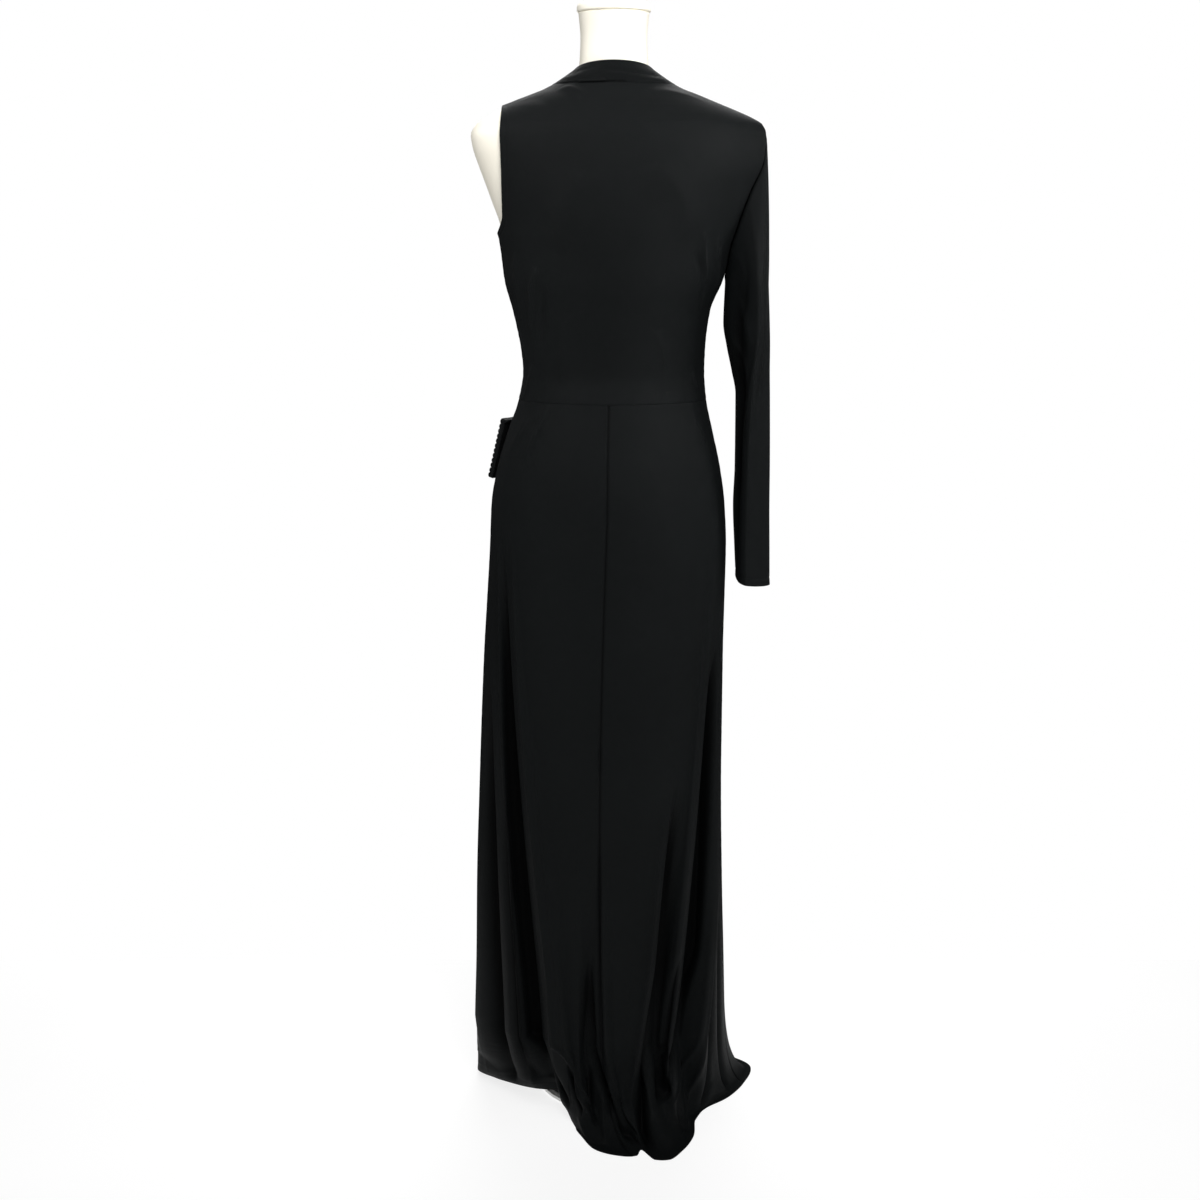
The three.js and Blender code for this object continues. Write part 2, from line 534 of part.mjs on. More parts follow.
/** The hip band: a stiff ribbed strip on end, whose head turns in to the dress. */
function hipBand() {
  const { angle, middle, height, width, thickness, ribs, rib } = HIP_BAND;
  const half = height / 2;
  const pitch = height / ribs;
  const outline = new THREE.Shape();
  outline.moveTo(0, -half);
  outline.lineTo(thickness, -half);
  for (let i = 0; i < ribs; i += 1) {
    const foot = -half + i * pitch;
    outline.lineTo(thickness + rib, foot + pitch * 0.3);
    outline.lineTo(thickness + rib, foot + pitch * 0.7);
    outline.lineTo(thickness, foot + pitch);
  }
  outline.lineTo(-HIP_BAND_TURN.length, half);
  outline.lineTo(-HIP_BAND_TURN.length, half - HIP_BAND_TURN.thickness);
  outline.lineTo(0, half - HIP_BAND_TURN.thickness);
  const seat = sample(gownPoint, radians(angle), middle, 1e-3, 0.05);
  const outward = seat.normal.setZ(0).normalize();
  const up = new THREE.Vector3(0, 0, height).addScaledVector(outward, -HIP_BAND_LEAN).normalize();
  const across = outward.clone().cross(up).normalize();
  const frame = new THREE.Matrix4().makeBasis(up.clone().cross(across), up, across);
  const corner = seat.point.addScaledVector(outward, HIP_BAND_OFFSET).addScaledVector(across, -width / 2);
  return new THREE.ExtrudeGeometry(outline, { depth: width, bevelEnabled: false, steps: 1 })
    .applyMatrix4(frame.setPosition(corner));
}

/** The dress form's torso, from its underside up to the top of its neck. */
function torso() {
  const rows = [...FORM_SECTIONS].reverse();
  return stack(rows.map(({ side, back, front, height }) => ring(side, back, front, height, FORM_COLUMNS)));
}

/** A round solid on the form's axis, from its outline. */
function round(outline) {
  return stack(outline.map(({ radius, height }) => ring(radius, radius, radius, height, ROUND_COLUMNS)));
}

const gown = new THREE.Group();
function add(name, geometry, material) {
  const mesh = new THREE.Mesh(geometry, material);
  mesh.name = name;
  gown.add(mesh);
}

add("bodice_back", bodicePanel(backSides), BLACK_JERSEY);
add("bodice_front", bodicePanel(frontSides), BLACK_JERSEY);
add("skirt_back_left", skirtPanel(-90, 0), BLACK_JERSEY);
add("skirt_back_right", skirtPanel(0, 90), BLACK_JERSEY);
add("skirt_front", skirtPanel(90, 270), BLACK_JERSEY);
add("sleeve", sleeve(), BLACK_JERSEY);
add("collar", collar(), BLACK_JERSEY);
add("hip_band", hipBand(), BLACK_TRIM);
add("form_torso", torso(), IVORY_FORM);
add("form_neck_cap", round(NECK_CAP), IVORY_FORM);
add("stand_pole", round(POLE), WHITE_STEEL);
add("stand_base", round(BASE), WHITE_STEEL);

export default gown;
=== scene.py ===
# %% [markdown]
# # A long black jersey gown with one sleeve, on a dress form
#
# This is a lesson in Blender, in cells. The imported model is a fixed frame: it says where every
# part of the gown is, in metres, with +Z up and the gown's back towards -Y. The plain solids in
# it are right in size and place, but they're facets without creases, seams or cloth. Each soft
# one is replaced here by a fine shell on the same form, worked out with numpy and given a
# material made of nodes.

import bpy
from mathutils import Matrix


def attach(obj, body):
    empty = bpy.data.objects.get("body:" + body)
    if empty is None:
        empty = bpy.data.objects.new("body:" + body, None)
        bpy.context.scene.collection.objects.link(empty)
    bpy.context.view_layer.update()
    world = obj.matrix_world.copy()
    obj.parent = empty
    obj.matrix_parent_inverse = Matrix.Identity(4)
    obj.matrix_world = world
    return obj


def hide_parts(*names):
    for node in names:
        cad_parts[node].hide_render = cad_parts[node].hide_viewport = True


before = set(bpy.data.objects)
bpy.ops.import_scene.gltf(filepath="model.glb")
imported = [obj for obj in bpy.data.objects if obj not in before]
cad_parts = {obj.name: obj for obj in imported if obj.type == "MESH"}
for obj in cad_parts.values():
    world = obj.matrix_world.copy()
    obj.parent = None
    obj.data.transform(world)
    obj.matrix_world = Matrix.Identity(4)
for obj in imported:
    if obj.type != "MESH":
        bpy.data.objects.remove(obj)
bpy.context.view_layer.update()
print("nodes:", ", ".join(sorted(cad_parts)))

# %% Other modules
import math

import bpy
import numpy as np

# %% [markdown]
# ## Sizes and tables
#
# A garment is easiest to keep true when its sizes stand in a few tables. The numbers are
# millimetres and degrees, and they're the ones that the solids were made from. An angle is 0 at
# the centre back and grows towards +X, the sleeved side. Each table becomes a set of named
# columns, so that a formula can ask for "left" or "reach" by name.

# %% Driving sizes
NECK_SEAM = 1412.0
FRONT_NECK_DROP = 20.0
WAIST_SEAM = 1003.0
LEFT_UNDERARM = 1222.0
LEFT_SHOULDER = 1385.8
RIGHT_UNDERARM = 1166.0
RIGHT_SHOULDER = 1362.0
HIP_LINE = 850.0
LOW_LINE = 110.0
CUFF = 745.5
CLOTH = 1.3  # wall of one layer of jersey


def table(names, rows):
    """Named columns from rows of numbers."""
    return dict(zip(names.split(), np.array(rows, float).T))


# %% The gown's sections: half widths, and depths behind and before the axis
GOWN = table("height left right back front", [
    (0, 200, 167, 133, 145), (110, 197.5, 161.5, 129, 138), (200, 194.5, 159, 125, 132),
    (350, 192, 156, 120, 123), (500, 187, 154, 117, 116), (650, 180, 154, 116, 111),
    (725, 175, 155, 117, 109), (800, 170, 156, 118, 109), (860, 167, 153, 115, 108),
    (910, 158, 146, 109, 106), (960, 143, 135, 100, 103), (1003, 128, 126, 91, 99),
    (1041, 122, 123, 85, 97), (1073, 125, 124, 86, 101), (1121, 135, 130, 92, 114),
    (1160, 145.5, 146, 98, 127), (1204, 151, 159, 101, 131), (1230, 156, 171, 102, 128),
    (1275, 171, 190, 101, 118), (1316, 186, 204, 97, 106), (1348, 195, 202, 91, 95),
    (1362, 190, 195.5, 86, 89), (1370, 180, 182.5, 82, 85), (1381, 157, 157, 77, 79),
    (1391, 133, 132, 72, 73), (1401, 106, 107, 66, 67), (1406, 93, 93, 63, 64),
    (1413, 79, 79, 59, 60), (1420, 66, 66, 56, 57),
])
print("the gown has", len(GOWN["height"]), "sections")

# %% The skirt's fold lines, round from the left side seam
# at: the line's place. hip, low, hem: its angle at three heights. bow: degrees that it swings
# aside. stand: how far it stands out or in. from: where it begins. reach, lift: the hem's place.
FOLDS = table("at hip low bow stand from hem reach lift", [
    (-90, -90, -90, 0, 1, 800, -93, 200, 8), (-83, -84, -79, 1, 3, 700, -80, 174, 14),
    (-76, -77, -61, 0, -10, 660, -68, 158, 21), (-69, -69.5, -42.5, 2.4, 6, 760, -52, 141, 27),
    (-62, -63, -34.5, 1, -20, 860, -35, 126, 32), (-56, -56.5, -24.5, 1.5, 8, 900, -28, 130, 10),
    (-49, -49.5, -18.5, 1, 8, 560, -22.5, 146, 0), (-36, -37, -16, 0.5, 2, 500, -14, 179, 0),
    (-22, -22, -14, 1, 1, 420, -6.5, 211, 0), (-9, -9, -11.8, 3.5, -11, 410, 1, 224, 0),
    (0, -3, -4.5, -1.8, -1, 400, 6, 228, 0), (3, 0, -2.4, -2.7, 6, 420, 8, 227, 0),
    (8, 7, 1.5, -3, 3, 400, 10.3, 213, 0), (15, 19, 6.5, -1, 3, 400, 13.5, 242, 0),
    (25, 43, 14.8, 1, 9, 440, 18, 247, 0), (32, 50, 22.5, 1, -14, 430, 24, 232, 0),
    (42, 58, 28, 3, 7, 760, 32.5, 207, 0), (53, 71, 40.5, 3.5, -20, 880, 43, 172, 0),
    (64, 84, 49.5, 7, 8, 600, 54, 163, 0), (75, 87.5, 65, 3, -3, 400, 69, 178, 0),
    (90, 90, 88, 0, 2, 500, 85, 195, 0), (98, 97, 99, 0, 5, 500, 98, 209, 0),
    (108, 108, 109, 0, -5, 640, 110, 190, 0), (122, 121, 121, 0, 6, 700, 122, 182, 0),
    (136, 135, 135, 0, -7, 660, 136, 163, 0), (150, 149, 149, 0, 6, 720, 150, 160, 0),
    (165, 164, 164, 0, -6, 690, 165, 148, 0), (180, 180, 180, 0, 6, 700, 180, 152, 0),
    (197, 197, 197, 0, -6, 680, 197, 148, 0), (214, 213, 213, 0, 6, 720, 212, 163, 0),
    (229, 227, 227, 0, -7, 700, 225, 170, 0), (244, 241, 240, 0, 6, 740, 239, 188, 3),
    (257, 255, 254, 0, -5, 700, 252, 196, 6), (270, 270, 270, 0, 1, 800, 267, 200, 8),
])
LANDING = 0.12
HOVER_OUT, HOVER_UP = 0.017, 1.6
print("the skirt has", len(FOLDS["at"]), "fold lines")

# %% The sleeve and the dress form
SLEEVE = table("height inner outer crest depth", [
    (CUFF, 170, 217.5, 181, 41), (793, 168, 216.5, 180, 43), (860, 165, 215, 179.5, 47),
    (910, 166.5, 214.5, 180, 49), (1008, 166, 212.5, 183.5, 52), (1041, 160, 211.5, 186, 54),
    (1073, 153, 211, 188.5, 56), (1105, 148, 209.5, 189.5, 58), (1156, 149.5, 207, 188, 60),
])
FORM = table("height side back front", [
    (618, 118, 84, 78), (628, 134, 98, 92), (650, 141, 104, 98), (715, 146, 110, 102),
    (790, 148, 112, 103), (850, 146, 109, 102), (905, 140, 103, 100), (955, 129, 94, 97),
    (1003, 119, 85, 93), (1041, 115, 79, 91), (1073, 117, 80, 95), (1115, 124, 86, 107),
    (1160, 138, 92, 121), (1204, 145, 95, 125), (1235, 151, 96, 121), (1260, 160, 95.5, 116),
    (1285, 169, 94.5, 109.5), (1312, 179, 92, 101.5), (1334, 186, 89, 94.5),
    (1349, 188, 85.5, 89), (1362, 181, 80.5, 83.5), (1372, 167, 76.5, 79), (1382, 146, 72, 73.5),
    (1391, 123, 67, 68), (1401, 96, 60.5, 61.5), (1408, 80, 55, 56), (1413, 68, 52, 53),
    (1421, 52, 48.5, 49), (1432, 46, 46, 46), (1446, 44.5, 45, 45), (1470, 43.5, 44, 44),
    (1502, 46, 46, 46),
])
print("the form is", FORM["height"][-1] - FORM["height"][0], "mm from hem to neck")

# %% [markdown]
# ## Reading a table smoothly
#
# Cloth has no corners between its sections, so a table is read along a curve. A cubic through
# the rows could overshoot and put a ripple where there's none. This one can't: at each row its
# slope is the harmonic mean of the slopes on both sides, and level where they disagree.


# %% A smooth reader, and small helpers
def read(columns, key, name, place):
    """A column at any places along its key, as whole arrays.

    Between two rows: a cubic with the rows' values and slopes at its ends. A row's slope is the
    harmonic mean of its neighbours' slopes, or nothing where they change sign."""
    x, y = columns[key], columns[name]
    slope = np.diff(y) / np.diff(x)
    before, after = slope[:-1], slope[1:]
    both = np.where(before + after == 0, 1, before + after)
    middle = np.where(before * after <= 0, 0, 2 * before * after / both)
    tangent = np.concatenate([slope[:1], middle, slope[-1:]])
    inside = np.clip(place, x[0], x[-1])
    i = np.clip(np.searchsorted(x, inside) - 1, 0, len(x) - 2)
    span = x[i + 1] - x[i]
    s = (inside - x[i]) / span
    return (
        (2 * s**3 - 3 * s**2 + 1) * y[i]
        + (s**3 - 2 * s**2 + s) * span * tangent[i]
        + (3 * s**2 - 2 * s**3) * y[i + 1]
        + (s**3 - s**2) * span * tangent[i + 1]
    )


def read_either(columns, there, one, other, height):
    """One column where a condition holds and another elsewhere, read at a height."""
    return np.where(
        there, read(columns, "height", one, height), read(columns, "height", other, height)
    )


def mix(a, b, share):
    """The point a share of the way from a to b."""
    return a + (b - a) * share


def ease(x, low, high):
    """0 below low, 1 above high, and a smooth S between them."""
    s = np.clip((x - low) / (high - low), 0, 1)
    return s * s * (3 - 2 * s)


def stack(*parts):
    """Arrays of x, y and z, made the same shape, as one array of points."""
    return np.stack(np.broadcast_arrays(*parts), axis=-1)


print("half width of the waist:", float(read(GOWN, "height", "left", WAIST_SEAM)), "mm")


# %% [markdown]
# ## Surfaces
#
# A shape here is a function of two parameters. The bodice is an ellipse at each height. The
# skirt is the same ellipse with fold lines that drift round it on the way down and stand out or
# in, and below the low line each column turns out to the hem along a curve with one knee.


# %% The gown's own surface
def gown_point(angle, height):
    """An ellipse at each height: half width times sine, depth times cosine."""
    width = read_either(GOWN, np.sin(angle) < 0, "left", "right", height)
    depth = read_either(GOWN, np.cos(angle) > 0, "back", "front", height)
    return stack(width * np.sin(angle), -depth * np.cos(angle), height), width, depth


def padded_round(columns, turning):
    """A table of lines round the body, with one more row at each end, a whole turn away."""
    made = {}
    for name, values in columns.items():
        turn = 360 if name in turning else 0
        made[name] = np.concatenate([values[-2:-1] - turn, values, values[1:2] + turn])
    return made


FOLDS_ROUND = padded_round(FOLDS, ("at", "hip", "low", "hem"))


def skirt_point(at, down):
    """Down is 1 at the waist seam, 0 at the low line and -1 at the hem.

    Hanging: the ellipse at the line's angle, plus stand times growth along the normal.
    Landing: a curve with start, knee and hem, weighted (1-q)^2, 2q(1-q) and q^2."""
    line = {name: read(FOLDS_ROUND, "at", name, at) for name in FOLDS_ROUND}
    height = mix(LOW_LINE, WAIST_SEAM, np.clip(down, 0, 1))
    fall = np.clip((HIP_LINE - height) / (HIP_LINE - LOW_LINE), 0, 1)
    turn = mix(line["hip"], line["low"], fall) + line["bow"] * 4 * fall * (1 - fall)
    angle = np.radians(turn)
    point, width, depth = gown_point(angle, height)
    outward = stack(np.sin(angle) / width, -np.cos(angle) / depth, 0)
    outward /= np.linalg.norm(outward, axis=-1, keepdims=True)
    growth = 1 - ease(height, LOW_LINE, line["from"])
    start = point + outward * (line["stand"] * growth)[..., None]
    q = np.clip(-down, 0, 1)[..., None]
    out = np.radians(line["hem"])
    hem = stack(np.sin(out) * line["reach"], -np.cos(out) * line["reach"], line["lift"])
    knee = mix(start, hem, (LANDING + line["lift"] * HOVER_OUT)[..., None])
    knee[..., 2] = line["lift"] * HOVER_UP
    return start * (1 - q) ** 2 + knee * 2 * q * (1 - q) + hem * q**2


def neckline(angle):
    """The collar seam's height: level round the back, lower at the front."""
    return NECK_SEAM - FRONT_NECK_DROP * np.minimum(0, np.cos(angle)) ** 2


# %% The two armholes
BARE_EDGE, BARE_TURN, BARE_SCOOP, SLEEVED_SWING = 145.5, 24.0, 14.0, 20.0


def bare_armhole(height, scoop):
    """Degrees in from the side: the angle whose sine is edge over half width, turned up from
    the underarm along a quarter circle."""
    rise = (height - LEFT_UNDERARM) / (LEFT_SHOULDER - LEFT_UNDERARM)
    turn = np.clip((height - LEFT_UNDERARM) / BARE_TURN, 0, 1)
    edge = BARE_EDGE - scoop * np.sin(math.pi * np.clip(rise, 0, 1))
    width = read(GOWN, "height", "left", height)
    full = 90 - np.degrees(np.arcsin(np.minimum(1, edge / width)))
    open_there = (rise > 0) & (rise < 1)
    return np.where(open_there, full * np.sqrt(1 - (1 - turn) ** 2), 0)


def sleeved_armhole(height):
    """Degrees in from the side: a swing times sine to the power 0.7, from underarm to shoulder."""
    rise = (height - RIGHT_UNDERARM) / (RIGHT_SHOULDER - RIGHT_UNDERARM)
    return SLEEVED_SWING * np.sin(math.pi * np.clip(rise, 0, 1)) ** 0.7


print("the bare armhole is", LEFT_SHOULDER - LEFT_UNDERARM, "mm deep")


# %% [markdown]
# ## From points to a mesh
#
# A grid of points becomes quads, and every quad has to face outwards. A second set of numbers,
# the UV map, says where each point lies on the flat cloth, in metres, so that a knit pattern
# keeps its scale. One layer of jersey is then given its wall by a Solidify modifier, inwards, so
# the outer face stays on the form.


# %% Grids, normals and distances
def along_rows(points):
    """Each point's distance along its row from the row's first point."""
    steps = np.linalg.norm(np.diff(points, axis=1), axis=2)
    return np.concatenate([np.zeros((len(points), 1)), np.cumsum(steps, axis=1)], axis=1)


def up_columns(points):
    """Each point's distance up its column from the column's lowest point."""
    return along_rows(points.transpose(1, 0, 2)).T


def normals(points, closed=False):
    """Each point's unit normal: across its row, times up its column."""
    if closed:
        across = np.roll(points, -1, axis=1) - np.roll(points, 1, axis=1)
    else:
        across = np.gradient(points, axis=1)
    n = np.cross(across, np.gradient(points, axis=0))
    return n / np.maximum(np.linalg.norm(n, axis=-1, keepdims=True), 1e-9)


def raised(points, relief, closed=False):
    """Points moved along their normals."""
    return points + normals(points, closed) * relief[..., None]


def distance_to(points, line):
    """Each point's distance to a line of points: the least over its straight pieces."""
    nearest = np.full(points.shape[:-1], np.inf)
    for a, b in zip(line[:-1], line[1:]):
        d = b - a
        share = np.clip((points - a) @ d / max(d @ d, 1e-9), 0, 1)
        away = np.linalg.norm(points - a - share[..., None] * d, axis=-1)
        nearest = np.minimum(nearest, away)
    return nearest


def ring(row):
    """A row of points whose first point comes again at its end."""
    return np.concatenate([row, row[:1]])


def cloth_map(points, closed=False):
    """Where each point lies on the flat cloth, in metres: along its row from the middle column,
    and up its column. A closed piece's first column counts again as its last."""
    if closed:
        points = np.concatenate([points, points[:, :1]], axis=1)
    across = along_rows(points)
    middle = across[:, [int(round((points.shape[1] - 1) / 2))]]
    return np.stack([across - middle, up_columns(points)], axis=-1) * 0.001


# %% A mesh from a grid
def grid_piece(name, points, uv=None, closed=False, capped=False):
    """A piece from rows of points in millimetres. Quads run across and then up, so they face
    outwards; closed joins the last column to the first, and capped shuts both ends."""
    rows, columns = points.shape[:2]
    i, j = np.mgrid[0 : rows - 1, 0 : columns if closed else columns - 1]
    ends = [(i, j), (i, j + 1), (i + 1, j + 1), (i + 1, j)]
    quads = np.stack([a * columns + b % columns for a, b in ends], axis=-1).reshape(-1, 4)
    loops, sizes = quads.ravel(), np.full(len(quads), 4)
    if capped:
        rim = np.arange(columns)
        loops = np.concatenate([loops, rim[::-1], rim + (rows - 1) * columns])
        sizes = np.concatenate([sizes, [columns, columns]])
    mesh = bpy.data.meshes.new(name)
    mesh.vertices.add(rows * columns)
    mesh.vertices.foreach_set("co", (points * 0.001).astype(np.float32).ravel())
    mesh.loops.add(len(loops))
    mesh.loops.foreach_set("vertex_index", loops.astype(np.int32))
    mesh.polygons.add(len(sizes))
    starts = np.concatenate([[0], np.cumsum(sizes)[:-1]])
    mesh.polygons.foreach_set("loop_start", starts.astype(np.int32))
    mesh.polygons.foreach_set("use_smooth", np.ones(len(sizes), bool))
    mesh.update(calc_edges=True)
    if uv is not None:
        flat = np.zeros((len(loops), 2))
        flat[: quads.size] = np.stack([uv[a, b] for a, b in ends], axis=2).reshape(-1, 2)
        mesh.uv_layers.new(name="cloth").data.foreach_set("uv", flat.astype(np.float32).ravel())
    mesh.validate()
    piece = bpy.data.objects.new(name, mesh)
    bpy.context.scene.collection.objects.link(piece)
    return piece


def give_painted_shade(piece, values):
    """Writes each point's painted shade, which a material reads as the attribute "shade"."""
    layer = piece.data.attributes.new("shade", "FLOAT", "POINT")
    layer.data.foreach_set("value", np.asarray(values, np.float32).ravel())


def give_wall(piece, thickness):
    """One layer of cloth, inwards from the outer face."""
    wall = piece.modifiers.new("wall", "SOLIDIFY")
    wall.thickness = thickness * 0.001
    wall.offset = -1
    wall.use_rim = True
    wall.use_quality_normals = True


def finish_piece(piece, material, node_name):
    """Material, body, and hiding the solid that the piece stands for."""
    piece.data.materials.append(material)
    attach(piece, "root")
    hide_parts(node_name)
    piece.data.calc_loop_triangles()
    print(f"{piece.name}: {len(piece.data.loop_triangles)} triangles before its wall")


# %% [markdown]
# ## Materials
#
# Black jersey isn't a flat black. It is knitted in fine upright wales, it is a little uneven in
# tone, and it shines softly where it turns away from the eye. The wales and the courses across
# them are two waves on the cloth's own UV map, about a millimetre apart, used as a bump, and
# slower noise moves the tone and the roughness. The darkness along a seam and in a deep fold is
# painted shade, because soft light alone leaves the folds too flat: each point of the mesh
# carries a number, its shade, which the material multiplies into the colour.


# %% Small helpers for nodes
def new_material(name):
    """An empty node material with its main shader, and its nodes and links."""
    material = bpy.data.materials.new(name)
    material.use_nodes = True
    tree = material.node_tree
    return material, tree, tree.nodes["Principled BSDF"]


def node(tree, kind, settings=(), **sockets):
    """A node with settings, and its sockets set to a value or linked."""
    made = tree.nodes.new("ShaderNode" + kind)
    for name, value in dict(settings).items():
        setattr(made, name, value)
    for name, value in sockets.items():
        socket = made.inputs[int(name[1:])] if name[0] == "_" else made.inputs[name]
        if isinstance(value, bpy.types.NodeSocket):
            tree.links.new(value, socket)
        else:
            socket.default_value = value
    return made


def tone(tree, factor, dark, light):
    """A colour between two, by a factor."""
    ramp = node(tree, "ValToRGB", Fac=factor)
    ramp.color_ramp.elements[0].position, ramp.color_ramp.elements[1].position = 0.3, 0.7
    ramp.color_ramp.elements[0].color = (*dark, 1)
    ramp.color_ramp.elements[1].color = (*light, 1)
    return ramp.outputs["Color"]


def spread(tree, value, low, high):
    """A 0 to 1 value spread between two others."""
    return node(tree, "MapRange", Value=value, _3=low, _4=high).outputs[0]


def bump(tree, height, distance, strength=1.0, under=None):
    """A bump of so many metres, over an earlier one."""
    made = node(tree, "Bump", Height=height, Distance=distance, Strength=strength)
    if under is not None:
        tree.links.new(under, made.inputs["Normal"])
    return made.outputs["Normal"]


# %% Black jersey
WALE, COURSE = 0.0008, 0.0011  # metres between two columns of the knit, and two rows
DARKEST = (0.28, 0.28, 0.29, 1)  # what the colour is multiplied by where the painted shade is 1


def wave_scale(pitch):
    """The wave texture repeats every pi / (10 * scale)."""
    return math.pi / (10 * pitch)


def knit(tree, uv):
    """Upright wales crossed by finer courses, as a height from 0 to 1."""
    wales, courses = (
        node(
            tree, "TexWave", {"bands_direction": way}, Vector=uv, Scale=wave_scale(pitch),
            Distortion=wander, Detail=0.0,
        ).outputs["Fac"]
        for way, pitch, wander in (("X", WALE, 0.6), ("Y", COURSE, 0.4))
    )
    half = node(tree, "Math", {"operation": "MULTIPLY"}, _0=courses, _1=0.45).outputs[0]
    return node(tree, "Math", {"operation": "ADD"}, _0=wales, _1=half).outputs[0]


def jersey(name, dark, light, rough):
    """Knitted black cloth: uneven tone, soft sheen, and painted shade on seams and hollows."""
    material, tree, shader = new_material(name)
    place = node(tree, "TexCoord")
    uv = node(tree, "UVMap", {"uv_map": "cloth"}).outputs["UV"]
    drift = node(tree, "TexNoise", Vector=place.outputs["Object"], Scale=7.0, Detail=4.0)
    grain = node(tree, "TexNoise", Vector=uv, Scale=900.0, Detail=2.0)
    blend = node(
        tree, "Math", {"operation": "MULTIPLY_ADD"},
        _0=grain.outputs["Fac"], _1=0.35, _2=drift.outputs["Fac"],
    ).outputs[0]
    centred = node(tree, "Math", {"operation": "SUBTRACT"}, _0=blend, _1=0.17).outputs[0]
    cloth = tone(tree, centred, dark, light)
    # The painted shade of seams and hollows darkens the colour down to DARKEST.
    shade = node(tree, "Attribute", {"attribute_name": "shade"}).outputs["Fac"]
    darker = node(
        tree, "Mix", {"data_type": "RGBA", "blend_type": "MULTIPLY"},
        _0=shade, _6=cloth, _7=DARKEST,
    ).outputs[2]
    tree.links.new(darker, shader.inputs["Base Color"])
    tree.links.new(
        spread(tree, drift.outputs["Fac"], rough - 0.05, rough + 0.05),
        shader.inputs["Roughness"],
    )
    pull = node(tree, "TexNoise", Vector=place.outputs["Object"], Scale=60.0, Detail=3.0)
    soft = bump(tree, pull.outputs["Fac"], 0.0004, 0.6)
    tree.links.new(bump(tree, knit(tree, uv), 0.0002, 0.7, soft), shader.inputs["Normal"])
    shader.inputs["Specular IOR Level"].default_value = 0.06
    shader.inputs["Sheen Weight"].default_value = 0.004
    shader.inputs["Sheen Roughness"].default_value = 0.45
    shader.inputs["Sheen Tint"].default_value = (0.75, 0.8, 0.85, 1)
    return material


black_jersey = jersey("black_jersey", (0.0044, 0.0052, 0.0054), (0.0057, 0.0067, 0.007), 0.55)
print("materials:", black_jersey.name)

# %% [markdown]
# ## Creases
#
# Cloth that is pulled over a body creases along the pull. A crease here is a line between two
# places that bows a little aside. It stands highest at its middle, dies away to both ends and
# falls off to both sides. Each is placed from a row of its own, and no two are alike, because
# even creases look woven in.


# %% Relief from rows of creases
def crease_relief(across, along, columns):
    """The sum over the creases of rise times a sine along the line, to the power 0.7, times a
    bell across it whose shoulders are sharpened to the power 1.5."""
    relief = np.zeros(np.broadcast(across, along).shape)
    for x0, y0, x1, y1, bow, width, rise in zip(*columns.values()):
        length = math.hypot(x1 - x0, y1 - y0)
        ux, uy = (x1 - x0) / length, (y1 - y0) / length
        share = ((across - x0) * ux + (along - y0) * uy) / length
        inside = np.clip(share, 0, 1)
        aside = (across - x0) * uy - (along - y0) * ux - bow * 4 * inside * (1 - inside)
        fade = np.maximum(np.sin(math.pi * inside), 0) ** 0.7
        relief += rise * fade * np.exp(-((np.abs(aside) / width) ** 1.5))
    return relief


def creases(rows):
    """From and to places, across and up in millimetres, then bow, half width and rise."""
    return table("x0 y0 x1 y1 bow width rise", rows)


# %% Ridges, grooves and ripples beside a seam
def ridge(distance, rise, width, place=0.0):
    """A bell beside a line: rise times e to minus the square of the distance from the bell's
    place over its width. A rise below 0 makes a groove, as a row of stitches does."""
    return rise * np.exp(-(((distance - place) / width) ** 2))


def seam_groove(distance, depth=1.0, width=1.8):
    """A groove where two pieces meet: the cloth rolls in over its last few millimetres."""
    return ridge(distance, -depth, width)


def pucker(distance, run, pitch=11.0, rise=0.16):
    """Small ripples beside a seam, which die away from it."""
    wave = np.sin(2 * math.pi * run / pitch) + 0.6 * np.sin(2 * math.pi * run / (pitch * 1.7) + 1)
    return rise * wave * np.exp(-distance / 7)


# %% The painted shade of a seam, and a finished piece of jersey
# Millimetres in which a seam's painted shade dies away, and how much farther off the seams at
# the waist and at the neck count as being, because they show less.
SEAM_FADE, WAIST_FAINT, NECK_FAINT = 1.2, 3.2, 2.4


def painted_seam_shade(distance):
    """Painted shade of a seam: 1 on it, less away: e to minus the distance over the fade."""
    return np.exp(-distance / SEAM_FADE)


def jersey_piece(name, points, shade, node_name, closed=False, thickness=CLOTH):
    """A finished piece of black jersey from the points of its outer face."""
    piece = grid_piece(name, points, cloth_map(points, closed), closed=closed)
    give_painted_shade(piece, shade)
    give_wall(piece, thickness)
    finish_piece(piece, black_jersey, node_name)
    return piece


def crowded(count, edge=(0, 0.002, 0.0045, 0.008, 0.013, 0.02, 0.03)):
    """Shares from 0 to 1 that crowd at both ends, where a seam's roll needs them."""
    edge = np.array(edge)
    return np.concatenate([edge, np.linspace(0.042, 0.958, count), 1 - edge[::-1]])


# %% [markdown]
# ## The bodice
#
# Two panels, back and front, each in one piece from the neckline to the waist seam. The rows run
# level up to the right shoulder and then bend to meet the neckline, and two more rows tuck in
# under the collar. The left edge runs up the side seam, turns in at the underarm and follows the
# bare armhole; the right edge follows the armhole that the sleeve is set into. The rows crowd
# where the bare armhole turns.

